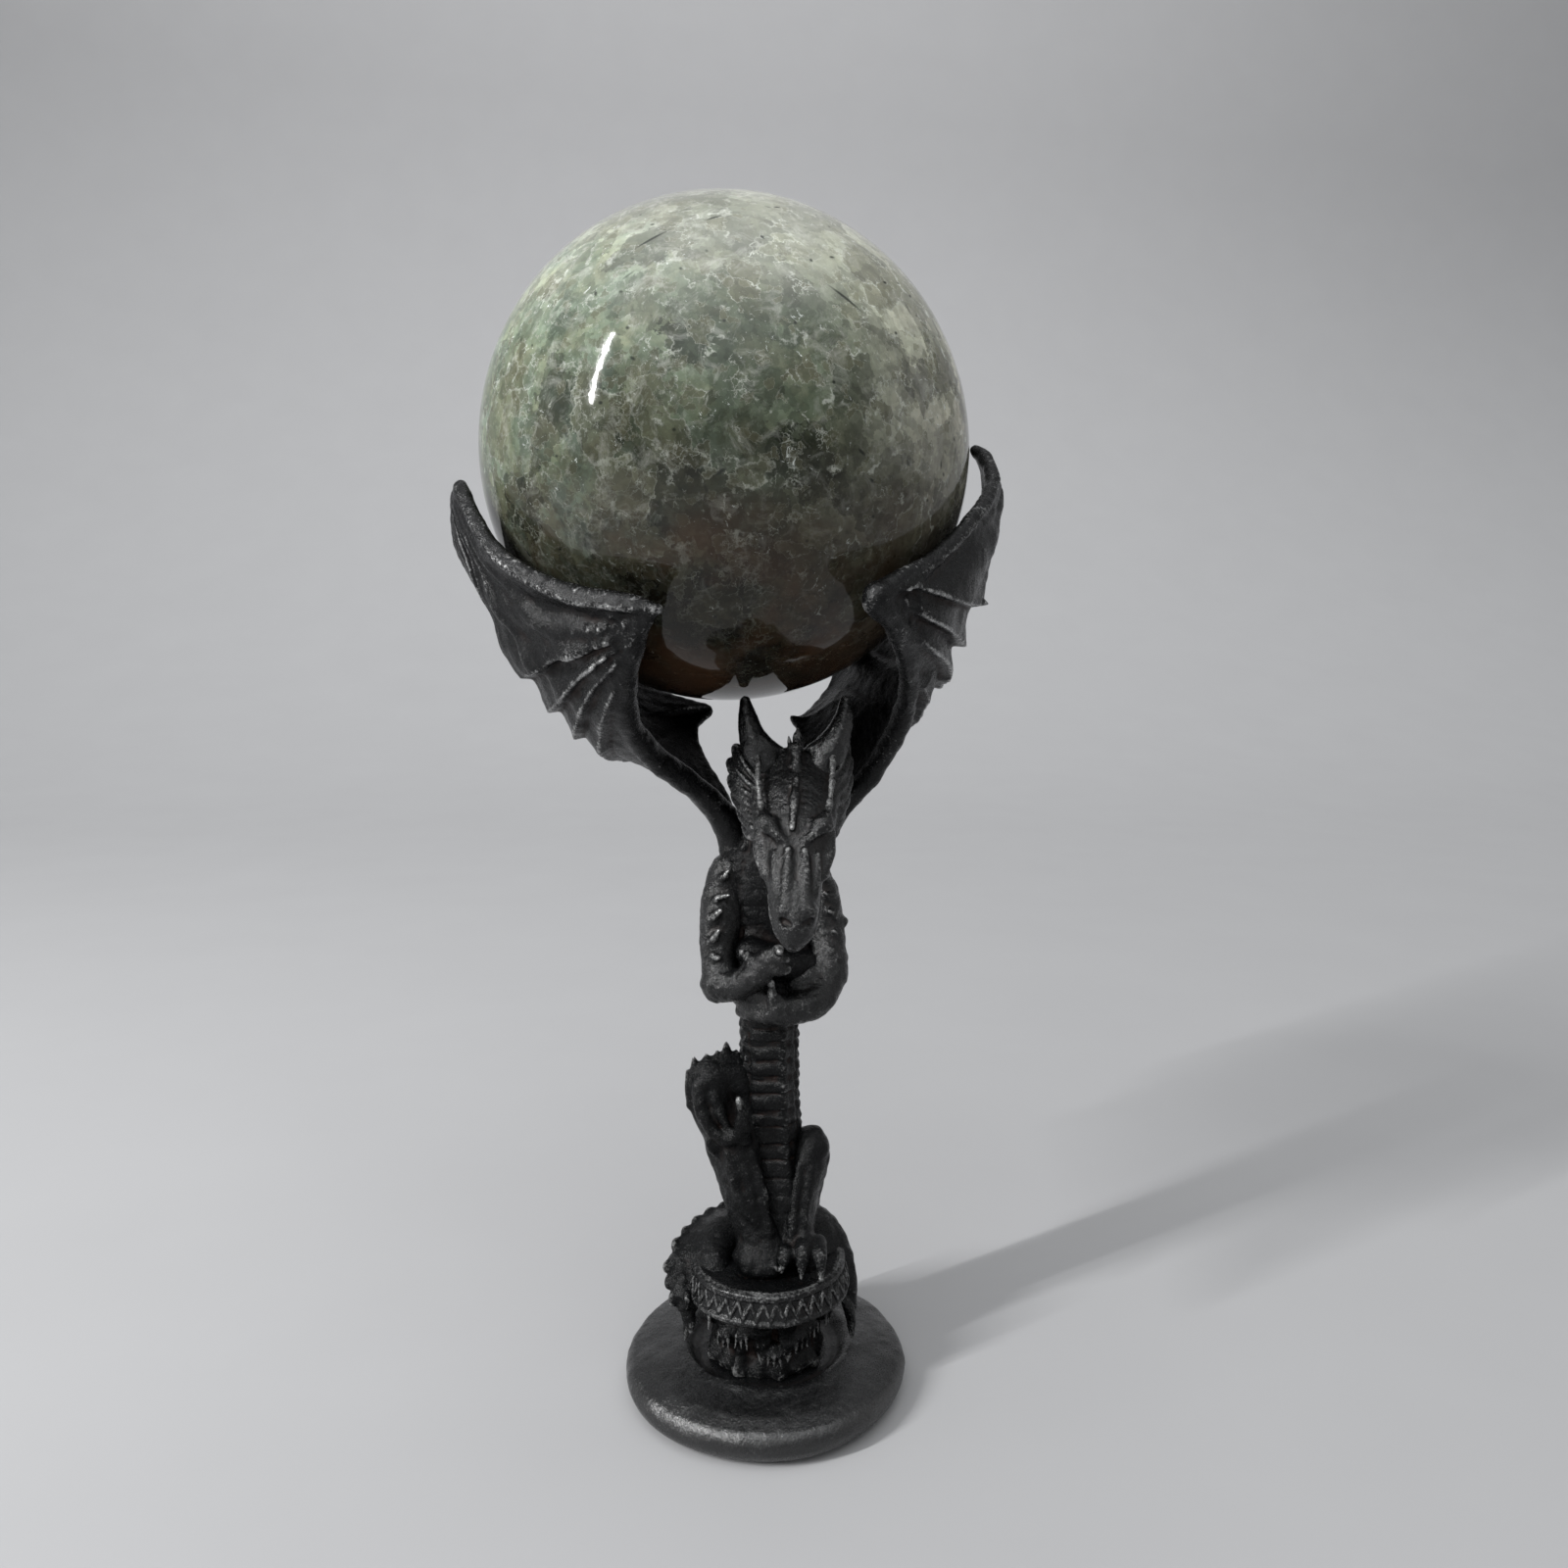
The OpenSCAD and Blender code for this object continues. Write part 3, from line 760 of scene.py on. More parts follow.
def model_tail():
    """The tail, coiled round the feet in two arms with a row of spines."""
    clay = Clay((-19, -12, 5.5), (17, 16, 28), 0.2)
    right = [(0, 8.2, 21.2), (5.4, 8.6, 21.4), (9.2, 6.0, 20.9), (11.7, 2.0, 18.2), (12.5, -1.2, 14.0),
             (13.0, -3.2, 7.4)]
    left = [(0, 8.2, 21.0), (-5.0, 8.0, 20.5), (-9.0, 5.2, 19.9), (-12.0, 1.2, 18.2), (-12.4, -3.0, 15.6),
            (-12.0, -5.2, 11.4)]
    right_sizes = [3.4, 3.1, 2.7, 2.1, 1.4, 0.3]
    left_sizes = [3.4, 3.1, 3.0, 2.8, 1.9, 0.4]
    clay.rod(right, right_sizes, soft=0.6, bumps=lambda t: 0.06 * np.sin(t * 60))
    clay.rod(left, left_sizes, soft=0.6, bumps=lambda t: 0.1 * np.sin(t * 55))
    clay.rod([(-2.5, 5.6, 21.6), (-6.6, 3.2, 21.0), (-8.4, -0.8, 19.8), (-7.4, -3.8, 18.4)], [3.2, 3.3, 2.7, 1.4],
             soft=1.8)
    clay.rod([(3.6, 6.4, 21.2), (7.8, 3.6, 20.6), (9.4, 0.2, 19.0)], [3.0, 2.8, 1.8], soft=1.8)
    path, size = curve(left, left_sizes, 11)
    for i in range(2, 10):
        out = unit([path[i][0], path[i][1], 9.0 if i < 7 else 3.0])
        base = path[i] + out * size[i] * 0.7
        along = unit(path[min(i + 1, 11)] - path[i])
        side = np.cross(along, out)
        clay.blade([base - along * 1.0, base + out * 0.8, base + out * 1.25 + along * 0.6], 2.6, 1.5, side, soft=0.6)
        for k in (-1, 1):
            clay.lump(base + side * 1.5 * k - out * 0.5, (1.2, 0.8, 0.6), along=along, up=out, soft=0.5)
    path, size = curve(right, right_sizes, 16)
    for i in range(2, 15):
        out = unit([path[i][0], path[i][1], 4.0])
        along = unit(path[min(i + 1, 16)] - path[i])
        clay.lump(path[i] + out * size[i] * 0.8, (0.9, 1.0, 0.4), along=along, up=out, soft=0.5)
    clay.roughen(0.16, 1.6, 31)
    clay.roughen(0.08, 0.8, 32)
    return clay.fire("tail_cast", BODY_METAL, ["tail"])


# ---------------------------------------------------------------- the figure's body


def model_torso():
    """The upright body: oval sections with belly plates in front and scales behind."""
    clay = Clay((-13, -12, 19.5), (14, 15, 93), 0.2)
    rows = np.array([
        # height, centre x, centre y, half-width x, half-width y
        (20.0, 1.5, 1.8, 6.6, 5.6),
        (24.5, 1.5, 1.7, 6.3, 5.2),
        (30.0, 1.2, 1.6, 5.6, 4.8),
        (37.0, 0.7, 1.4, 4.7, 4.4),
        (45.0, 0.3, 1.0, 4.35, 4.3),
        (52.0, 0.1, 0.8, 4.3, 4.2),
        (59.0, -0.1, 0.8, 4.3, 4.2),
        (63.0, 0.3, 1.2, 5.4, 4.3),
        (67.0, 0.5, 1.8, 7.6, 4.4),
        (71.0, 0.5, 2.2, 8.6, 4.6),
        (77.0, 0.2, 2.4, 8.2, 5.0),
        (81.0, 0.0, 2.2, 6.6, 4.6),
        (85.0, 0.4, 1.6, 5.0, 4.2),
        (92.0, 1.4, 0.4, 3.6, 3.8),
    ])
    part, (x, y, z) = clay.near([(-12, -11, 20), (13, 14, 92)], 1.0)
    cx, cy, wx, wy = (np.interp(z, rows[:, 0], rows[:, k]).astype(np.float32) for k in (1, 2, 3, 4))
    dx, dy = x - cx, y - cy
    d = to_oval((dx / wx) ** 2 + (dy / wy) ** 2, dx**2 / wx**4 + dy**2 / wy**4)
    angle = np.arctan2(dx, -dy)  # 0 at the front
    front = np.exp(-((angle / 0.95) ** 6))
    waver = 0.4 * np.sin(3 * z) * np.sin(1.7 * z)
    scute = ((z + waver + 0.5 * np.abs(angle - 0.2)) / 2.6) % 1.0
    plates = 0.4 * (1 - np.abs(2 * scute - 1) ** 3) - 0.25
    groove = -0.3 * np.exp(-(((np.abs(angle - 0.05) - 1.0) / 0.12) ** 2))
    keel = 0.75 * np.exp(-(((angle - 0.34) / 0.2) ** 2))
    row_z = z / 1.6
    scale_v = (row_z % 1.0) - 0.5
    scale_u = ((angle * 3.2 + 0.5 * (np.floor(row_z) % 2)) % 1.0) - 0.5
    scales = 0.6 * np.clip(0.6 - np.sqrt(scale_u**2 + (scale_v * 0.9 + 0.15) ** 2), 0, 1)
    belly = front * (plates * np.clip((68 - z) / 4, 0.35, 1) + keel * np.clip((62 - z) / 4, 0, 1)) + groove
    relief = (belly + (1 - front) * scales) * np.clip((z - 23) / 6, 0, 1)
    clay.join(part, np.maximum(d - relief, z - 91).astype(np.float32))
    heights = np.arange(30, 86, 3.0)
    for height, back in zip(heights, np.interp(heights, rows[:, 0], rows[:, 2] + rows[:, 4])):
        middle = float(np.interp(height, rows[:, 0], rows[:, 1]))
        clay.blade([(middle, back - 0.6, height + 0.8), (middle, back + 1.3, height + 0.2),
                    (middle, back + 2.3, height - 1.1)],
                   2.6, 0.9, (1, 0, 0), soft=0.4)
    for side in (-1, 1):  # shoulder blades and collar
        clay.lump((0.2 + side * 5.6, 3.0, 78.0), (3.0, 3.0, 4.2), soft=1.8)
    clay.rod([(-3.5, -3.0, 68.5), (1.5, -3.6, 66.5), (5.0, -3.0, 66.5)], [2.2, 2.4, 2.0], soft=1.5)
    clay.lump((2.4, -2.8, 21.8), (4.2, 3.0, 2.8), soft=1.8)
    clay.lump((2.4, -1.6, 27.0), (3.2, 2.6, 7.0), soft=2.0)
    clay.roughen(0.08, 1.8, 41)
    clay.roughen(0.07, 0.8, 42)
    clay.cut_flat(FOOT_TOP)
    return clay.fire("torso_cast", BODY_METAL, ["torso"])


def model_left_leg():
    """The bent leg on the viewer's left, with spikes on its knee."""
    clay = Clay((-16, -11, 19), (4, 9, 57), 0.18)
    clay.rod([(-0.4, 1.4, 24), (-3.0, 1.2, 31), (-5.9, 0.6, 37.5), (-8.2, 0.0, 43), (-8.9, 0.2, 48.4)],
             [4.2, 3.7, 3.2, 3.0, 2.7], soft=1.4)
    clay.rod([(-8.4, 0.6, 48.6), (-5.4, 1.0, 48.4), (-3.2, 1.2, 47)], [2.9, 2.9, 2.6], soft=1.2)
    clay.lump((-5.2, 1.0, 43.5), (3.2, 1.6, 5.5), soft=1.0)
    clay.lump((-3.4, -0.4, 35.5), (2.6, 2.6, 9.0), up=(-0.28, 0, 0.96), soft=2.5)
    clay.rod([(-10.6, -1.6, 48.2), (-10.4, -2.4, 44.6), (-8.9, -3.2, 41.8), (-6.6, -3.9, 40.4), (-5.0, -4.0, 41.6)],
             [1.15, 1.1, 1.05, 1.1, 0.8], soft=0.7)
    clay.rod([(-8.6, -2.2, 46.6), (-7.4, -3.0, 43.6), (-6.2, -3.6, 41.6)], [0.8, 0.8, 0.7], soft=0.6)
    clay.rod([(-4.3, -3.4, 40.4), (-4.45, -4.5, 42.4), (-4.8, -5.2, 44.8), (-5.2, -5.4, 47.3)],
             [1.1, 1.15, 0.85, 0.22], soft=0.6)
    clay.lump((-8.3, -2.2, 39.2), (1.4, 1.0, 2.1), up=(0.4, -0.2, 0.9), soft=0.35)
    clay.rod([(-4.8, -1.0, 38.5), (-3.8, -1.0, 33), (-2.2, -1.6, 27.5), (-0.6, -3.2, 22.8)], [2.7, 3.1, 3.3, 3.2],
             soft=2.2)
    clay.lump((-0.6, -3.2, 21.6), (5.0, 3.4, 2.3), soft=2.0)
    for aside, low_z in ((0.0, 25.0), (-1.9, 27.5), (1.7, 26.0)):  # sinews down the shin
        clay.rod([(-4.6 + aside, -3.3, 38), (-3.1 + aside, -4.2, 32), (-1.2 + 0.6 * aside, -5.0, low_z)],
                 [0.4, 0.75, 0.3], soft=0.8)
    crown = [((-11.6, 0.0, 47.4), (-12.4, 0.1, 49.6)), ((-10.8, 0.0, 49.4), (-11.4, 0.2, 51.6)),
             ((-9.4, 0.0, 50.6), (-9.7, 0.2, 52.6)), ((-7.8, 0.2, 50.8), (-7.9, 0.4, 52.4)),
             ((-6.4, 0.4, 51.2), (-6.5, 0.6, 53.7)), ((-5.0, 0.6, 50.6), (-5.0, 0.8, 52.6))]
    for a, b in crown:
        a, b = np.array(a), np.array(b)
        clay.blade([a + [0.5, 0.1, -2.6], a + [0.1, 0, -0.4], b], 2.9, 1.6, (0.2, -1, 0.2), soft=0.6)
    for z, x in ((45.6, -11.5), (43.2, -10.9), (37.4, -8.9), (35.4, -8.0)):
        clay.blade([(x + 1.4, 0.2, z - 1.8), (x + 0.3, 0.2, z), (x - 0.1, 0.2, z + 1.2)], 2.4, 1.6, (0.5, -0.8, 0.3),
                   soft=0.7)
    for k in range(3):  # toes, sunk in the mass of the foot
        toe = np.array((-3.4 + 1.9 * k, -5.6 - 0.25 * k, 21.6))
        clay.rod([toe + [0.6, 2.2, 0.9], toe + [0, 0.4, 0.4], toe + [-0.1, -0.7, -0.5]], [1.1, 1.0, 0.7], soft=1.8)
    clay.rod([(0.0, -7.2, 22.0), (0.9, -7.9, 21.9), (1.5, -8.0, 22.4)], [0.4, 0.5, 0.3], soft=0.4)
    clay.roughen(0.2, 2.0, 51)
    clay.roughen(0.1, 0.9, 52)
    clay.cut_flat(FOOT_TOP)
    return clay.fire("left_leg_cast", BODY_METAL, ["left_leg"])


def model_right_leg():
    """The leg on the viewer's right, with three claws over the ring."""
    clay = Clay((-1, -12, 17.5), (13, 8, 44), 0.18)
    clay.rod([(3.2, 2.2, 23), (4.6, 1.6, 29.5), (5.9, 0.8, 34.5), (6.5, 0.2, 37.0)], [4.4, 3.9, 3.2, 2.7], soft=1.2)
    clay.rod([(6.4, -0.4, 36.4), (5.2, -1.6, 32.4), (4.2, -2.2, 27.6), (4.0, -3.8, 22.8)], [2.4, 2.6, 2.8, 2.8],
             soft=2.0)
    for aside in (-1.3, 0.5):  # sinews down the shin
        clay.rod([(5.8 + aside, -3.0, 35.5), (4.9 + aside, -4.3, 30.5), (4.3 + aside, -5.4, 25.5)], [0.3, 0.7, 0.35],
                 soft=0.8)
    for z, x in ((37.2, 8.6), (35.0, 8.9), (33.0, 8.4), (30.8, 7.9), (28.2, 7.2)):
        clay.blade([(x - 1.5, -0.2, z - 1.7), (x - 0.4, -0.2, z), (x + 0.2, 0.0, z + 1.0)], 2.4, 1.6,
                   (-0.5, -0.8, 0.3), soft=0.6)
    for z, x in ((39.0, 5.4), (39.4, 7.0)):
        clay.lump((x, 0.0, z), (1.2, 1.3, 0.8), soft=0.8)
    for base, tip in (((4.9, -5.4, 24.6), (3.9, -9.3, 21.0)), ((7.0, -5.0, 23.8), (6.9, -9.4, 20.8)),
                      ((2.6, -5.4, 23.2), (1.2, -8.0, 21.5))):
        base, tip = np.array(base), np.array(tip)
        clay.rod([base, base * 0.45 + tip * 0.55 + [0, -0.2, 1.2], tip], [1.5, 1.05, 0.3], soft=0.7)
    clay.roughen(0.18, 2.0, 61)
    clay.roughen(0.09, 0.9, 62)
    return clay.fire("right_leg_cast", BODY_METAL, ["right_leg"])


def model_left_arm():
    """The arm on the viewer's left, its hand raised to the chest."""
    clay = Clay((-14, -15, 57), (3, 8, 85), 0.16)
    clay.rod([(-6.0, 2.4, 79.5), (-7.0, 1.2, 75), (-7.8, -1.0, 69.6), (-7.9, -3.4, 65.0)], [3.1, 3.4, 2.9, 2.6],
             soft=0.9)
    clay.rod([(-8.1, -3.6, 64.0), (-5.6, -6.2, 64.6), (-3.0, -8.4, 66.8), (-1.2, -9.8, 69.4)], [2.6, 2.2, 2.0, 1.6],
             soft=1.0)
    rng = np.random.RandomState(7)
    for z in np.linspace(79.5, 68.0, 5):  # worn knobs down the outer front edge
        x = float(np.interp(z, (65, 70, 75, 78, 81), (-9.8, -9.8, -9.3, -8.4, -7.4)))
        y = float(np.interp(z, (65, 75, 81), (-4.2, -1.6, 0.0)))
        jog = rng.uniform(-0.5, 0.5, 4)
        clay.rod([(x + 1.7 + jog[0], y - 1.7, z + 0.9 + jog[3]), (x + 0.7, y - 1.0 + jog[1] * 0.4, z + jog[2]),
                  (x + 0.1, y - 0.1, z - 0.9)],
                 [0.2, 0.5 + 0.3 * jog[1], 0.4], soft=1.1)
    for end in ((-0.3, -12.0, 70.9), (0.7, -11.6, 69.6), (0.9, -10.8, 68.0)):
        clay.rod([(-1.6, -9.6, 68.8), (-0.5, -11.0, end[2]), end], [1.1, 0.85, 0.55], soft=0.8)
    clay.rod([(-5.0, -6.4, 69.6), (-3.6, -7.9, 68.8), (-2.0, -9.0, 68.6)], [0.5, 0.9, 1.0], soft=1.1)
    clay.roughen(0.2, 2.2, 71)
    clay.roughen(0.1, 0.7, 72)
    return clay.fire("left_arm_cast", METAL, ["left_arm"])


def model_right_arm():
    """The arm on the viewer's right, its hand laid round the body."""
    clay = Clay((-8, -14, 55), (15, 8, 85), 0.16)
    clay.rod([(6.4, 2.4, 79.6), (7.5, 1.4, 75.4), (8.4, -0.8, 70), (8.5, -3.0, 65.8)], [2.8, 3.1, 2.7, 2.5], soft=0.9)
    clay.rod([(8.6, -3.4, 64.8), (6.4, -5.8, 62.2), (3.4, -7.2, 61.2), (0.4, -7.8, 61.0)], [2.5, 2.3, 2.15, 1.9],
             soft=1.0)
    # inner side of the elbow
    clay.rod([(7.6, -2.0, 66.4), (5.2, -3.6, 64.6), (3.6, -4.0, 63.6)], [2.0, 2.2, 2.2], soft=1.2)
    rng = np.random.RandomState(8)
    for z in np.linspace(79.0, 68.0, 5):  # worn knobs down the outer front edge
        x = float(np.interp(z, (65, 70, 75, 78, 81), (10.6, 10.5, 9.9, 9.1, 7.8)))
        y = float(np.interp(z, (65, 75, 81), (-3.4, -0.8, 0.6)))
        jog = rng.uniform(-0.45, 0.45, 4)
        clay.rod([(x - 1.7 + jog[0], y - 1.6, z + 0.9 + jog[3]), (x - 0.7, y - 1.0, z + jog[2]),
                  (x, y - 0.1, z - 0.8)],
                 [0.2, 0.5 + 0.3 * jog[1], 0.4], soft=1.1)
    clay.lump((10.7, -0.4, 72.2), (0.8, 0.8, 0.8), soft=0.3)
    for z, reach in ((63.4, -4.3), (61.7, -4.9), (60.0, -4.4)):  # fingers round the body
        clay.rod([(0.8, -7.6, 61.0 + 0.4 * (z - 61.6)), (-1.8, -6.4, z), (reach, -3.2, z - 0.3),
                  (reach - 0.4, -0.6, z - 0.8)],
                 [1.4, 1.15, 0.95, 0.5], soft=0.9)
    clay.rod([(0.2, -8.0, 61.6), (-0.7, -8.6, 63.6), (-1.0, -8.4, 65.4)], [1.1, 0.8, 0.45], soft=0.8)
    clay.roughen(0.2, 2.2, 81)
    clay.roughen(0.1, 0.7, 82)
    return clay.fire("right_arm_cast", METAL, ["right_arm"])


# ---------------------------------------------------------------- head and horns

HEAD_AT = (1.6, -13.0, 0.0)  # the head is modelled round this place
HEAD_TURN = math.radians(-8)  # and looks a little to one side
GAP = 0.5  # between the head and the ball


def model_head():
    """The head, bent down over the chest, with frills behind its cheeks."""
    clay = Clay((-12, -15, 70), (11, 17, 105), 0.15, HEAD_AT, HEAD_TURN)
    clay.rod([(-0.8, 13.4, 84), (-0.3, 7, 90.6), (-0.2, 3.4, 92.4), (-0.2, -2.6, 88.0)], [4.2, 5.0, 4.6, 3.9],
             soft=1.0, count=24)
    # forehead: one broad smooth slope from the horns down to the brows
    slope = [(4.3, 98.1, 5.4), (3.2, 96.9, 5.35), (1.7, 95.6, 5.2), (0.1, 94.2, 4.95), (-1.4, 92.9, 4.65),
             (-2.8, 91.6, 4.4), (-4.1, 90.3, 4.15), (-5.2, 88.9, 3.8)]
    for back, height, half in [(b + 0.85, h - 0.75, w) for b, h, w in slope]:
        clay.rod([(-half - 0.2, back + 0.9, height - 0.5), (-half * 0.5 - 0.2, back + 0.15, height),
                  (-0.15, back, height + 0.05),
                  (half * 0.5 - 0.2, back + 0.15, height), (half - 0.3, back + 0.9, height - 0.5)],
                  [1.3, 1.6, 1.6, 1.6, 1.3], soft=1.5, count=10)
    # muzzle, narrowing to a rounded point
    clay.rod([(-0.3, -3.4, 86.0), (-0.25, -6.6, 82.6), (-0.1, -8.8, 79.4), (-0.1, -9.8, 77.0)],
             [4.5, 3.75, 3.1, 2.55], soft=0.9,
             thin=(0, -0.66, 0.75), flat=0.9, count=24)
    clay.rod([(-0.2, -2.0, 82), (-0.2, -6.0, 78.4), (-0.2, -9.0, 75.6), (-0.3, -9.9, 74.8)], [3.1, 2.7, 1.7, 1.15],
             soft=0.7, count=14)
    clay.rod([(-0.1, -8.8, 80.6), (0.0, -10.4, 78.2), (-0.15, -10.8, 76.2)], [2.5, 2.45, 1.75], soft=0.9, count=12)
    for side in (-1, 1):
        lean = -0.25

        def on_side(points, shift=0.0):
            return [(side * x + shift, y, z) for x, y, z in points]

        # side ridge down to the brow
        clay.rod(on_side([(5.2, 2.5, 98.2), (5.0, -0.7, 95.2), (4.6, -3.7, 92.3), (3.9, -5.4, 90.4)], lean),
                 [0.42, 0.42, 0.4, 0.8], soft=0.5, bumps=lambda t: 0.07 * np.sin(t * 21))
        clay.lump((side * 3.7 + lean, -5.7, 89.8), (1.45, 1.3, 1.2), soft=0.8)
        clay.rod(on_side([(3.6, -6.2, 89.4), (2.4, -6.9, 88.5), (1.3, -7.1, 87.6)], lean),
                 [0.9, 0.6, 0.25], soft=1.1)
        clay.rod(on_side([(4.9, -5.4, 88.2), (3.6, -7.2, 87.5), (2.2, -8.3, 86.6)], lean),
                 [0.55, 0.8, 0.35], soft=0.5, cut=True)
        # cheek
        clay.rod(on_side([(4.9, -3.4, 87.9), (4.7, -5.0, 85.8), (3.9, -7.0, 83.2)], lean),
                 [0.5, 0.75, 0.5], soft=0.9)
        clay.rod(on_side([(1.05, -8.0, 86.6), (1.15, -9.5, 83.8), (1.2, -10.6, 81.4), (1.45, -11.3, 79.8)]),
                 [0.5, 0.72, 0.8, 0.95], soft=0.55)
        clay.rod(on_side([(2.85, -7.3, 86.0), (2.75, -8.7, 83.6), (2.5, -9.8, 81.4)]), [0.3, 0.45, 0.45],
                 soft=0.7)
        clay.lump((side * 1.6 + 0.1, -11.1, 79.2), (1.05, 1.0, 1.0), soft=0.8)  # nostril
        clay.rod([(side * 1.0, -12.6, 77.9), (side * 1.75 + 0.1, -12.0, 78.2)], [0.4, 0.5], soft=0.4, cut=True)
        clay.rod([(side * 3.6 - 0.1, -6.2, 79.6), (side * 3.0 - 0.1, -9.0, 77.0), (side * 2.0 - 0.2, -10.9, 75.3),
                  (-0.3, -11.4, 74.7)],
                 [0.14, 0.16, 0.16, 0.14], soft=0.3, cut=True)  # mouth line
        clay.rod([(side * 3.5 - 0.1, -6.4, 80.4), (side * 3.0 - 0.1, -9.2, 77.7), (side * 2.0 - 0.2, -11.1, 75.9),
                  (-0.3, -11.5, 75.3)],
                 [0.15, 0.2, 0.2, 0.15], soft=0.45)  # upper lip
    left = [(-8.5, 6.2, 99.0), (-9.2, 6.0, 97.1), (-9.1, 5.7, 94.8), (-8.5, 5.2, 92.8), (-7.7, 4.4, 90.8),
            (-6.9, 3.4, 88.9)]
    right = [(6.9, 6.7, 99.4), (7.3, 6.5, 97.6), (7.35, 6.2, 95.4), (7.0, 5.6, 93.2), (6.3, 4.8, 91.4),
             (5.4, 3.6, 90.0)]
    for side, tips in ((-1, left), (1, right)):  # overlapping frills behind the cheeks
        for k, tip in enumerate(tips):
            tip = np.array(tip)
            base = np.array([side * (4.7 - 0.06 * k) - 0.2, 1.8 - 0.5 * k, 93.6 - 1.15 * k])
            belly = base * 0.45 + tip * 0.55 + [side * 0.15, -0.9, -0.6]
            clay.blade([base, belly, tip - [0, 0, 0.5], tip], 2.7, 1.0, (side * 0.4, -1, 0.3), soft=0.3)
            clay.rod([base + [0, -0.6, 0.6], belly + [side * 0.1, -0.5, 0.7], tip], [0.36, 0.32, 0.14], soft=0.4)
    clay.rod([(-0.1, 1.0, 96.4), (-0.1, 2.4, 98.3), (0, 3.8, 99.8), (0.05, 5.0, 101.7)], [0.5, 0.75, 0.75, 0.25],
             soft=0.5,
             bumps=lambda t: 0.06 * np.sin(t * 17))
    clay.blade([(-0.8, 4.9, 98.4), (-1.0, 4.8, 99.6), (-1.2, 4.7, 100.6)], 1.2, 0.8, (1, 0, 0), soft=0.4)
    clay.rod([(-0.1, -1.3, 95.2), (-0.25, -3.0, 93.8), (-0.4, -5.2, 91.5), (-0.6, -6.9, 89.4)], [0.3, 0.6, 0.55, 0.3],
             soft=0.45,
             bumps=lambda t: 0.07 * np.sin(t * 14 + 1))
    clay.roughen(0.05, 1.6, 91)
    clay.roughen(0.045, 0.5, 92)
    clay.keep_off_ball(GAP)
    return clay.fire("head_cast", METAL, ["head"])


def model_horn(name, node, side):
    """A short blunt horn on one side of the head."""
    clay = Clay((side * 6 - 6, -4, 93), (side * 6 + 6, 12, 109), 0.13, HEAD_AT, HEAD_TURN)
    if side < 0:
        line = [(-4.6, 4.4, 96.6), (-5.4, 4.4, 98.6), (-6.3, 4.6, 100.7), (-6.9, 5.0, 103.0), (-7.3, 5.4, 105.4)]
        root = [(-5.6, 4.4, 99.2), (-3.9, 4.2, 98.9), (-2.4, 4.2, 98.6)]
        sizes = [2.5, 2.25, 1.85, 1.4, 0.75]
    else:
        line = [(3.9, 4.4, 96.6), (4.7, 4.4, 98.7), (5.7, 4.6, 101.0), (6.45, 5.0, 103.2), (6.75, 5.4, 105.7)]
        root = [(4.9, 4.4, 99.4), (3.3, 4.2, 99.2), (1.9, 4.2, 99.0)]
        sizes = [2.5, 2.3, 1.85, 1.35, 0.8]
    clay.rod(line, sizes, soft=0.6)
    clay.rod(root, [1.6, 1.1, 0.7], soft=1.2)  # flares into the top of the head
    front = [np.array(p) + [side * 0.1, -0.82 * r, 0.1] for p, r in zip(line, sizes)]
    clay.rod(front[1:], [0.5, 0.44, 0.36, 0.22], soft=0.6)
    clay.roughen(0.06, 1.4, 101 + side)
    clay.roughen(0.045, 0.5, 103 + side)
    clay.keep_off_ball(GAP)
    return clay.fire(name, HORN_METAL, [node])


# ---------------------------------------------------------------- wings
# A wing is drawn round the ball's centre, with +X outward, and the left one is mirrored. Its
# membrane is a sheet at a height over the ball that a flat chart of directions holds.


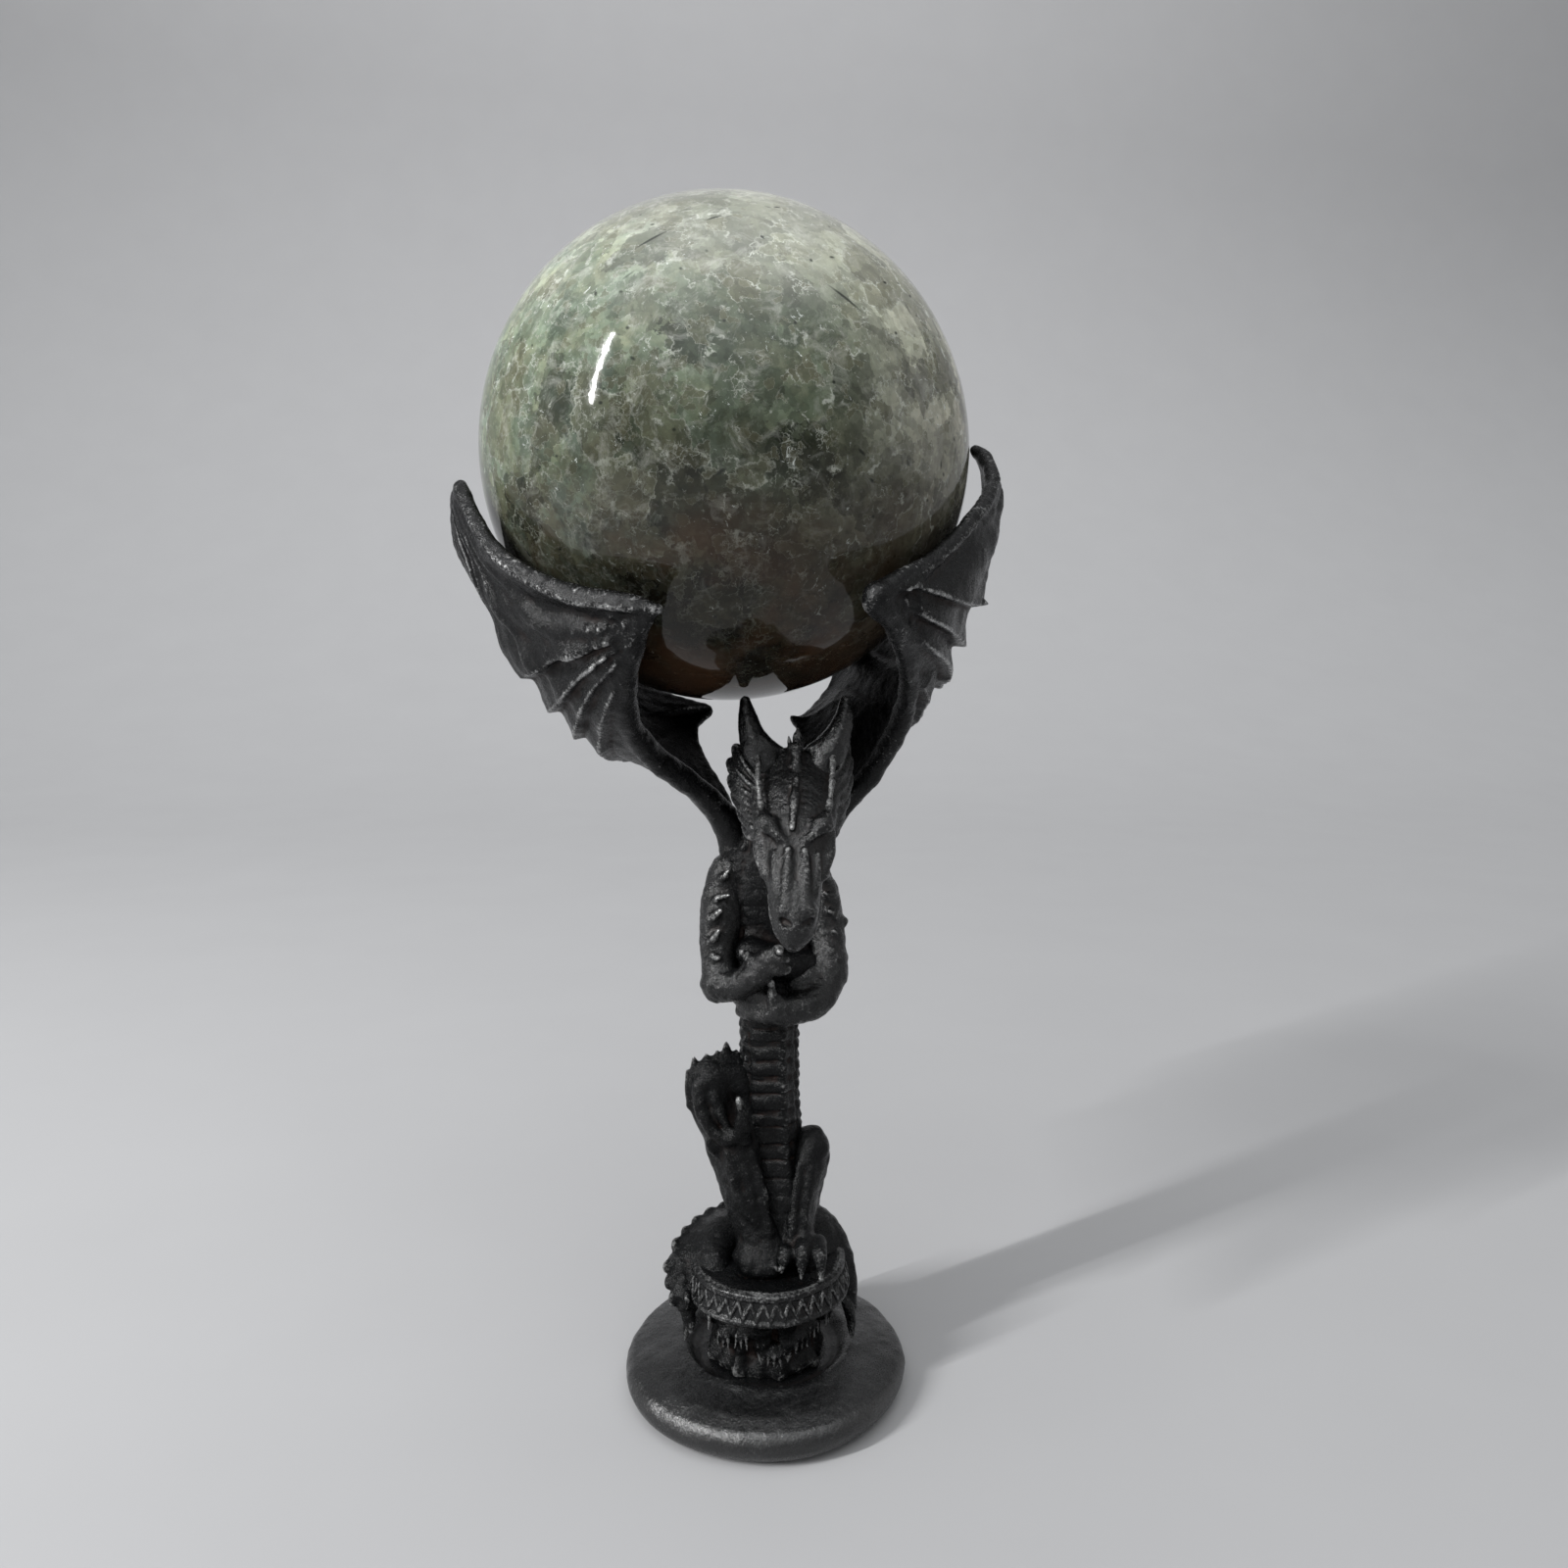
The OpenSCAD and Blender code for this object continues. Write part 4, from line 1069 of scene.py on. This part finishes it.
class Chart:
    """A flat map of the directions from the ball's centre, in millimetres at 40 mm from it."""

    SIZE = 40.0
    CELL = 0.2

    def __init__(self, middle):
        self.up = unit(middle)
        self.right = unit(np.cross((0, 1, 0), self.up))
        self.ahead = np.cross(self.up, self.right)
        n = int(60 / self.CELL)
        axis = (np.arange(2 * n + 1) - n) * self.CELL
        self.low = axis[0]
        self.a, self.b = np.meshgrid(axis, axis, indexing="ij")
        spin = np.sqrt(self.a**2 + self.b**2)
        angle = spin / self.SIZE
        share = np.where(spin > 1e-6, np.sin(angle) / np.maximum(spin, 1e-6), 1 / self.SIZE)
        self.facing = [np.cos(angle) * u + share * (self.a * r + self.b * f)
                       for u, r, f in zip(self.up, self.right, self.ahead)]

    def flat(self, x, y, z, length):
        """Chart coordinates of points at the given length from the ball's centre."""
        u, r, f = self.up, self.right, self.ahead
        height = np.clip((x * u[0] + y * u[1] + z * u[2]) / length, -1, 1)
        a = x * r[0] + y * r[1] + z * r[2]
        b = x * f[0] + y * f[1] + z * f[2]
        span = np.maximum(np.sqrt(a * a + b * b), 1e-6)
        angle = np.arccos(height) * self.SIZE
        return a / span * angle, b / span * angle

    def trace(self, points, count):
        """A smooth curve on the chart, and how far each of its points is from the ball's centre."""
        path, _ = curve(points, [1] * len(points), count)
        length = np.linalg.norm(path, axis=1)
        a, b = self.flat(path[:, 0], path[:, 1], path[:, 2], length)
        return np.stack([a, b], -1), length

    def to_line(self, line, values=None):
        """Distance from a line, how far along it, the side, and a value kept along it."""
        best = np.full(self.a.shape, 1e9)
        along = np.zeros(self.a.shape)
        side = np.zeros(self.a.shape)
        held = np.zeros(self.a.shape)
        steps = len(line) - 1
        for i in range(steps):
            p, q = line[i], line[i + 1]
            e = q - p
            wa, wb = self.a - p[0], self.b - p[1]
            h = np.clip((wa * e[0] + wb * e[1]) / max(float(e @ e), 1e-9), 0, 1)
            d = (wa - h * e[0]) ** 2 + (wb - h * e[1]) ** 2
            closer = d < best
            best = np.where(closer, d, best)
            along = np.where(closer, (i + h) / steps, along)
            side = np.where(closer, np.sign(e[0] * wb - e[1] * wa), side)
            if values is not None:
                held = np.where(closer, values[i] + (values[i + 1] - values[i]) * h, held)
        return np.sqrt(best), along, side, held

    def inside(self, loop):
        """Distance to a closed loop, negative inside."""
        closed = np.vstack([loop, loop[:1]])
        best = np.full(self.a.shape, 1e9)
        within = np.zeros(self.a.shape, bool)
        for p, q in zip(closed[:-1], closed[1:]):
            e = q - p
            wa, wb = self.a - p[0], self.b - p[1]
            h = np.clip((wa * e[0] + wb * e[1]) / max(float(e @ e), 1e-9), 0, 1)
            best = np.minimum(best, (wa - h * e[0]) ** 2 + (wb - h * e[1]) ** 2)
            if p[1] != q[1]:
                crosses = (self.b >= min(p[1], q[1])) & (self.b < max(p[1], q[1]))
                within ^= crosses & (self.a < p[0] + e[0] * (self.b - p[1]) / e[1])
        d = np.sqrt(best)
        return np.where(within, -d, d)

    def look_up(self, table, a, b):
        """Values of a table on the chart at chart coordinates."""
        u = np.clip((a - self.low) / self.CELL, 0, table.shape[0] - 2.001)
        v = np.clip((b - self.low) / self.CELL, 0, table.shape[1] - 2.001)
        i, j = u.astype(int), v.astype(int)
        f, g = (u - i).astype(np.float32), (v - j).astype(np.float32)
        t = table.astype(np.float32)
        return (t[i, j] * (1 - f) + t[i + 1, j] * f) * (1 - g) + (t[i, j + 1] * (1 - f) + t[i + 1, j + 1] * f) * g


def model_wing(name, node, side, plan):
    """One wing: plan holds its arm, ridge, fingers and rear edge as points round the ball."""
    chart = Chart((0.54, -0.05, -0.84))
    arm_line, arm_length = chart.trace(plan["arm"], 40)
    ridge_line, ridge_length = chart.trace(plan["ridge"], 30)
    rear_line, rear_length = chart.trace(plan["rear"], 90)
    # the sheet's distance from the ball's centre grows lower down, and at each bulge
    nearest, fall, bulge_reach = 38.2, 11, 6
    drop = np.degrees(np.arcsin(np.clip(-chart.facing[2], -1, 1)))
    shell = nearest + plan["lift"] + fall * (np.clip(drop, 0, 90) / 90) ** 3
    total = extra = 0
    for spot, more in plan["bulges"]:
        a, b = chart.trace([spot, spot], 1)[0][0]
        w = np.exp(-((chart.a - a) ** 2 + (chart.b - b) ** 2) / bulge_reach**2)
        total = total + w
        extra = extra + w * more
    shell = shell + extra / np.maximum(total, 1)
    # the sheet passes through its arm, its ridge and, less strictly, its rear edge
    pulls = ((arm_line, arm_length, plan["arm_out"], plan["arm_reach"], 1.0),
             (ridge_line, ridge_length, 0.0, plan["ridge_reach"], 1.0),
             (rear_line, rear_length, 0.0, 5.0, 0.7))
    for line, length, out, reach, strength in pulls:
        distance, _, _, height = chart.to_line(line, length)
        weight = strength * np.exp(-((distance / reach) ** 2))
        shell = shell + (height - out - shell) * weight

    # fingers are ribs with a steep side and a gentle one
    relief = np.zeros(shell.shape)
    for points, high, width in plan["fingers"]:
        line, _ = chart.trace(points, 20)
        distance, share, which, _ = chart.to_line(line)
        fade = np.clip((1.02 - share) / 0.15, 0, 1) * np.clip((share + 0.02) / 0.12, 0, 1)
        gentle = np.clip(1 - distance / width, 0, 1) ** 1.7
        steep = np.clip(1 - distance / plan["steep"], 0, 1) ** 1.2
        relief = np.maximum(relief, high * fade * np.where(which < 0, steep, gentle))
    # creases fan out from the tip and run along the wing
    tip = ridge_line[-1]
    fan = np.arctan2(chart.b - tip[1], chart.a - tip[0])
    from_tip = np.hypot(chart.a - tip[0], chart.b - tip[1])
    rng = np.random.RandomState(plan["seed"])
    creases = np.zeros(shell.shape)
    for _ in range(16):
        at = rng.uniform(-math.pi, math.pi)
        ripple = rng.uniform(14, 48)
        creases += np.sin(ripple * fan + at + 0.05 * from_tip * math.sin(at)) / (1 + ripple / 40)
    relief += 0.1 * creases * np.clip(from_tip / 10, 0, 1) * np.clip((44 - from_tip) / 14, 0, 1)
    # pleats fan out from the wrist
    wrist = arm_line[0]
    from_wrist = np.hypot(chart.a - wrist[0], chart.b - wrist[1])
    around = np.arctan2(chart.b - wrist[1], chart.a - wrist[0])
    pleats = np.zeros(shell.shape)
    for _ in range(7):
        count = rng.uniform(10, 26)
        start, drift = rng.uniform(-3, 3), 0.06 * from_wrist * rng.uniform(-1, 1)
        pleats += np.sin(count * around + start + drift) * 14 / (count + 6)
    relief += 0.3 * pleats * np.clip((from_wrist - 2) / 9, 0, 1) * np.clip((58 - from_wrist) / 20, 0, 1)
    # pits near the wrist, and slow folds all over
    axes = [chart.a[:, 0], chart.b[0, :], np.array([0.0])]
    pits = smooth_noise(axes, 0.75, plan["seed"] + 1)[:, :, 0]
    folds = smooth_noise(axes, 5.0, plan["seed"] + 5)[:, :, 0]
    relief += 0.42 * np.clip(pits - 0.1, -0.5, 0.6) * np.exp(-((from_wrist / 9.0) ** 4)) + 0.3 * folds

    loop = [chart.trace(plan["ridge"], 24)[0], rear_line, arm_line[::-1][:-1]]
    outline = chart.inside(np.vstack(loop))

    # the sheet, thinner and rounded at its edge
    clay = Clay((-8, -36, -62), (46, 34, 9), 0.24)
    x, y, z = np.meshgrid(*clay.axes(), indexing="ij", sparse=True)
    length = np.sqrt(x * x + y * y + z * z)
    active = (length > 34) & (length < 60)
    px, py, pz = (np.broadcast_to(c, length.shape)[active] for c in (x, y, z))
    rho = length[active]
    a, b = chart.flat(px, py, pz, rho)
    middle = chart.look_up(shell, a, b)
    raised = chart.look_up(relief, a, b)
    edge = chart.look_up(outline, a, b) * (rho / chart.SIZE)
    thick = 0.8 + 0.35 * np.clip(-edge / 6.0, 0, 1)
    outer = rho - (middle + raised + thick)
    inner = (middle - thick + 0.25 * raised) - rho
    sheet = np.maximum(outer, inner)
    d = -soft_min(-sheet, -edge, 0.8)
    clay.field[active] = np.clip(d, -FAR, FAR)

    # its arm, its ridge with a crest on it, and the seats that the ball rests on
    clay.rod(plan["arm"], plan["arm_sizes"], soft=1.6, bumps=lambda t: 0.08 * np.sin(t * 60))
    clay.rod(plan["ridge"], plan["ridge_sizes"], soft=0.9)
    crest = [np.array(p) + (unit(p) + [0.1, -0.3, -0.25]) * s * 0.72
             for p, s in zip(plan["ridge"], plan["ridge_sizes"])]
    clay.rod(crest, [plan["crest"]] * len(crest), soft=0.5,
             bumps=lambda t: 0.07 * np.sin(t * 61) + 0.07 * np.sin(t * 37))
    for points, sizes in plan["extras"]:
        clay.rod(points, sizes, soft=0.7)
    for spot in plan["seats"]:
        clay.rod([unit(spot) * (BALL_R + 2.0), np.array(spot)], [1.7, 2.0], soft=1.0)
    clay.roughen(0.1, 1.5, plan["seed"] + 2)
    clay.roughen(0.06, 0.7, plan["seed"] + 3)
    ball_gap = 0.32
    clay.field = np.maximum(clay.field, BALL_R + ball_gap - length).astype(np.float32)

    if side < 0:  # the mirror image
        clay.field = clay.field[::-1].copy()
        clay.lowest[0] = -(clay.lowest[0] + clay.cell * (clay.count[0] - 1))
    clay.lowest = clay.lowest + BALL
    wing = clay.fire(name, WING_METAL, [node])
    mesh = wing.data
    away = read(mesh.vertices, "co") - BALL * MM
    away /= np.linalg.norm(away, axis=1, keepdims=True)
    # how far each face looks toward the ball, which the wing metal turns into painted shade
    note(mesh, "inside", np.clip(-(read(mesh.vertex_normals, "vector") * away).sum(1), 0, 1))
    return wing


LEFT_WING = {
    "seed": 201,
    "steep": 1.2,
    "lift": 0.6,
    "crest": 0.45,
    "ridge_reach": 3.4,
    "arm_reach": 7.0,
    "arm_out": 0.0,
    "bulges": [((30.0, -7.0, -28.0), 0.6), ((26.0, -7.0, -33.0), 1.0), ((21.0, -7.0, -38.5), 1.2)],
    "arm": [(12.2, -29.4, -24.2), (13.6, -26.3, -27.6), (14.6, -21.0, -32.6), (14.0, -14.5, -38.0),
            (10.7, -9.0, -42.7), (6.9, -6.0, -45.8), (2.8, -3.5, -49.1), (-0.4, -1.5, -53.3), (-2.9, -1.0, -59.5)],
    "arm_sizes": [1.0, 1.4, 1.5, 1.6, 1.8, 1.8, 1.7, 2.3, 3.0],
    "ridge": [(10.6, -30.6, -23.2), (12.6, -30.0, -22.8), (15.4, -29.0, -22.3), (19.4, -26.9, -21.8),
              (24.0, -23.4, -20.2), (28.8, -19.8, -17.4), (31.7, -17.4, -14.6), (34.0, -14.5, -11.0),
              (35.5, -12.0, -8.0), (36.4, -9.8, -6.3)],
    "ridge_sizes": [0.3, 0.95, 1.25, 1.3, 1.2, 1.0, 0.85, 0.75, 0.7, 0.6],
    "rear": [(36.4, -9.8, -6.3), (38.4, -5.0, -9.5), (38.8, 0.0, -13.5), (37.0, 9.0, -17.0), (34.0, 12.0, -22.0),
             (28.5, 20.0, -24.0), (22.5, 19.5, -29.5), (15.0, 25.0, -30.5), (8.5, 21.0, -34.5), (0.6, 18.2, -36.6),
             (2.6, 16.8, -39.6), (3.0, 14.5, -42.2), (1.9, 11.0, -45.0), (0.2, 7.0, -47.2), (-1.6, 3.4, -49.0),
             (-2.4, 0.5, -53.0)],
    "fingers": [  # points, height, width
        ([(13.2, -28.3, -25.1), (18.7, -23.1, -27.2), (23.5, -16.6, -28.6), (29.0, -2.6, -31.0), (30.0, 9.0, -29.0),
          (30.5, 16.0, -22.0)], 1.2, 5.0),
        ([(14.0, -27.0, -26.3), (17.4, -23.1, -28.4), (20.8, -16.3, -31.5), (25.5, -2.6, -36.6), (25.0, 9.0, -34.0),
          (25.0, 20.0, -26.5)], 1.4, 3.6),
        ([(14.0, -26.2, -27.1), (16.6, -22.0, -30.1), (18.9, -16.3, -33.1), (20.8, -3.8, -38.6), (18.5, 9.0, -39.0),
          (14.0, 24.0, -31.0)], 1.45, 3.2),
        ([(14.7, -22.8, -30.6), (15.9, -19.0, -33.3), (17.1, -11.2, -37.5), (16.1, -1.7, -41.8), (11.0, 8.0, -42.0),
          (3.0, 17.5, -38.0)], 1.4, 3.0),
    ],
    "extras": [],
    "seats": [(20.0, 16.0, -30.0)],
}

RIGHT_WING = {
    "seed": 301,
    "steep": 1.1,
    "lift": 1.3,
    "crest": 0.4,
    "ridge_reach": 3.0,
    "arm_reach": 6.0,
    "arm_out": 0.3,
    "bulges": [((38.5, -3.0, -5.0), 0.4), ((36.0, -10.0, -18.0), 0.3), ((32.0, -9.0, -27.0), 0.6),
               ((28.0, -8.0, -34.0), 1.6), ((26.0, -8.0, -37.0), 2.2), ((24.0, -8.0, -41.0), 2.8),
               ((21.0, -6.0, -45.0), 3.4)],
    "arm": [(16.2, -29.8, -21.5), (19.8, -25.5, -24.6), (23.0, -19.0, -28.9), (24.6, -14.0, -32.3),
            (24.9, -9.5, -36.6), (23.5, -6.0, -41.8), (21.2, -3.5, -46.5), (18.3, -2.0, -49.8), (15.2, -1.2, -54.0),
            (11.9, -1.0, -58.5)],
    "arm_sizes": [1.9, 1.5, 1.4, 1.4, 1.4, 1.5, 1.6, 1.7, 2.2, 2.8],
    "ridge": [(16.2, -29.8, -20.8), (19.6, -28.0, -18.6), (24.2, -24.8, -16.0), (27.6, -21.9, -13.4),
              (31.2, -18.3, -10.2), (34.2, -14.6, -7.2), (36.8, -9.8, -4.0), (38.0, -5.8, -0.9), (38.1, -2.2, 1.8),
              (37.3, -0.4, 2.9)],
    "ridge_sizes": [1.5, 1.1, 0.95, 0.9, 0.85, 0.8, 0.75, 0.75, 0.7, 0.65],
    "rear": [(37.3, -0.4, 2.9), (38.9, 0.6, 1.0), (39.8, 1.2, -3.0), (39.8, 2.5, -8.5), (38.4, 7.0, -14.5),
             (36.0, 11.0, -19.0), (33.2, 18.0, -20.5), (31.0, 20.5, -22.5), (27.5, 24.5, -24.5), (23.0, 24.5, -28.6),
             (21.4, 24.0, -31.4), (20.3, 22.0, -34.1), (17.9, 20.5, -36.6), (16.0, 19.0, -38.2), (14.3, 18.0, -39.3),
             (12.4, 17.0, -38.9), (13.6, 14.0, -41.6), (13.6, 9.5, -45.0), (13.0, 5.0, -48.4), (12.6, 1.5, -52.5)],
    "fingers": [  # points, height, width
        ([(18.2, -29.3, -19.5), (21.9, -26.7, -19.2), (27.6, -20.6, -19.6), (35.4, -9.9, -20.4), (37.5, 0.0, -19.0),
          (35.5, 11.0, -19.0)], 1.5, 6.0),
        ([(20.1, -26.6, -21.6), (24.7, -21.7, -22.5), (29.5, -15.0, -24.2), (33.6, -9.3, -26.2), (34.5, 4.0, -25.0),
          (31.8, 17.5, -24.0)], 1.9, 4.2),
        ([(21.8, -23.0, -24.5), (26.6, -14.9, -26.2), (30.3, -9.5, -29.2), (31.0, -6.6, -31.2), (30.5, 6.0, -32.0),
          (27.0, 22.5, -28.5)], 1.9, 3.6),
        ([(24.3, -14.0, -29.6), (27.6, -10.0, -33.0), (28.9, -7.3, -35.6), (26.5, 4.0, -39.0), (20.3, 21.5, -34.4)],
         1.8, 3.2),
    ],
    "extras": [([(34.2, -10.8, -20.1), (35.8, -10.4, -20.2), (36.9, -9.9, -20.5)], [0.7, 0.5, 0.2])],
    "seats": [(24.0, 17.0, -28.0)],
}


# ---------------------------------------------------------------- ball, pad and screw


def model_ball():
    """The stone ball, ground by hand, so never quite round."""
    bpy.ops.mesh.primitive_ico_sphere_add(subdivisions=6, radius=BALL_R * MM)
    obj = bpy.context.object
    obj.name = "stone_ball"
    mesh = obj.data
    n = read(mesh.vertices, "co")
    n /= np.linalg.norm(n, axis=1, keepdims=True)
    x, y, z = n.T
    uneven = np.sin(2.1 * x + 3.2 * y + 0.4) * np.sin(2.7 * z - 1.3 * x) + 0.4 * np.sin(7 * y + 5 * z)
    mesh.vertices.foreach_set("co", (n * ((BALL_R - 0.04 + 0.02 * uneven) * MM)[:, None]).ravel())
    mesh.transform(Matrix.Translation(Vector(BALL * MM)))
    mesh.polygons.foreach_set("use_smooth", [True] * len(mesh.polygons))
    mesh.materials.append(STONE)
    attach(obj, "ball")
    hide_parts("crystal_ball")


def dress(node, material):
    """Puts a material on a node that keeps its CAD shape."""
    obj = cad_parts[node]
    obj.data.materials.clear()
    obj.data.materials.append(material)


model_base_disc()
model_pedestal()
model_zigzag_ring()
model_tail()
model_torso()
model_left_leg()
model_right_leg()
model_left_arm()
model_right_arm()
model_head()
model_horn("left_horn_cast", "left_horn", -1)
model_horn("right_horn_cast", "right_horn", 1)
model_wing("left_wing_cast", "left_wing", -1, LEFT_WING)
model_wing("right_wing_cast", "right_wing", 1, RIGHT_WING)
model_ball()
dress("base_pad", PAD)
dress("tie_screw", STEEL)
dress("tie_washer", STEEL)


# ---------------------------------------------------------------- floor, light and camera


def plain(name, colour, rough):
    """A matt colour that varies by a few hundredths."""
    s = Shader(name)
    tone = s.noise(0.02, detail=3)
    tint = s.mix(tone, tuple(c * 0.97 for c in colour), tuple(min(c * 1.03, 1) for c in colour))
    return s.finish(Base_Color=tint, Roughness=rough)


def floor():
    """A pale sweep: flat under the object, rising behind it."""
    rows = [(-2.5, 0.0), (-1.0, 0.0), (0.0, 0.0), (0.6, 0.0)]
    rows += [(0.6 + 0.9 * math.sin(a), 0.9 - 0.9 * math.cos(a)) for a in np.linspace(0.1, math.pi / 2, 20)]
    rows += [(1.5, 1.6), (1.5, 3.2)]
    points = [(x, y, z) for y, z in rows for x in (-4.0, 4.0)]
    faces = [(2 * k, 2 * k + 1, 2 * k + 3, 2 * k + 2) for k in range(len(rows) - 1)]
    mesh = bpy.data.meshes.new("floor")
    mesh.from_pydata(points, [], faces)
    mesh.polygons.foreach_set("use_smooth", [True] * len(mesh.polygons))
    mesh.materials.append(plain("pale_floor", (0.3, 0.3, 0.306), 0.7))
    obj = bpy.data.objects.new("floor", mesh)
    bpy.context.scene.collection.objects.link(obj)


def lamp(name, place, aim, size, watts):
    """An oblong lamp at a place, facing an aim."""
    light = bpy.data.lights.new(name, "AREA")
    light.shape = "RECTANGLE"
    light.size, light.size_y = size
    light.energy = watts
    obj = bpy.data.objects.new(name, light)
    obj.location = place
    direction = Vector(aim) - Vector(place)
    obj.rotation_euler = direction.to_track_quat("-Z", "Y").to_euler()
    bpy.context.scene.collection.objects.link(obj)
    return obj


def sky():
    """Soft even light: bright overhead and in front and out to both sides, dark elsewhere."""
    world = bpy.data.worlds.new("studio")
    world.use_nodes = True
    s = Nodes(world.node_tree)
    where = s.add("ShaderNodeTexCoord").outputs["Generated"]
    above = s.vector("DOT_PRODUCT", where, tuple(unit((-0.12, -0.42, 0.9))))
    tones = ((0.0, 0.02), (0.45, 0.03), (0.62, 0.09), (0.78, 0.36), (0.88, 1.1), (0.95, 3.0), (1.0, 3.8))
    overhead = s.ramp(s.span(above, -1.0, 1.0), *((at, (tone * 0.985, tone, tone * 1.01)) for at, tone in tones))
    sides = s.span(s.math("ABSOLUTE", s.split(where)[0]), 0.72, 0.99, kind="SMOOTHSTEP")
    background = s.tree.nodes["Background"]
    s.feed(background.inputs["Color"], s.vector("ADD", overhead, sides))
    s.feed(background.inputs["Strength"], 0.7)
    bpy.context.scene.world = world


floor()
sky()
wash = lamp("wall_wash", (0.0, 0.45, 1.5), (0, 1.6, 0.9), (1.6, 0.5), 14.0)
wash.visible_glossy = False
strip_at, strip_aim = Vector((-0.545, -0.262, 0.435)), Vector((0, 0, 0.12))
strip = lamp("strip", strip_at, strip_aim, (0.009, 0.3), 7.0)
away = (strip_at - strip_aim).normalized()
across = Vector((0.427, 0.147, 0.892)).cross(away).normalized()  # square to the way the strip leans
turn = Matrix((across, away.cross(across), away)).transposed()
strip.matrix_world = Matrix.Translation(strip_at) @ turn.to_4x4()


def camera():
    """Looks slightly down on the object from in front and a little to the left."""
    yaw, pitch, roll = math.radians(8.0), math.radians(6.1), math.radians(0.8)
    level = Vector((math.cos(yaw), -math.sin(yaw), 0))
    forward = Vector((math.sin(yaw), math.cos(yaw), 0)) * math.cos(pitch) - Vector((0, 0, math.sin(pitch)))
    down = forward.cross(level)
    right = level * math.cos(roll) - down * math.sin(roll)
    down = level * math.sin(roll) + down * math.cos(roll)
    sensor_width, picture_width, focal_length = 36.0, 1600, 1130  # the last two in picture units
    data = bpy.data.cameras.new("camera")
    data.sensor_width = sensor_width
    data.lens = sensor_width * focal_length / picture_width
    data.clip_start = 0.01
    obj = bpy.data.objects.new("camera", data)
    turn = Matrix((right, -down, -forward)).transposed()
    obj.matrix_world = Matrix.Translation(Vector((-21.01, -161.31, 110.48)) * MM) @ turn.to_4x4()
    bpy.context.scene.collection.objects.link(obj)
    bpy.context.scene.camera = obj
    bpy.context.scene.view_settings.view_transform = "Standard"


camera()
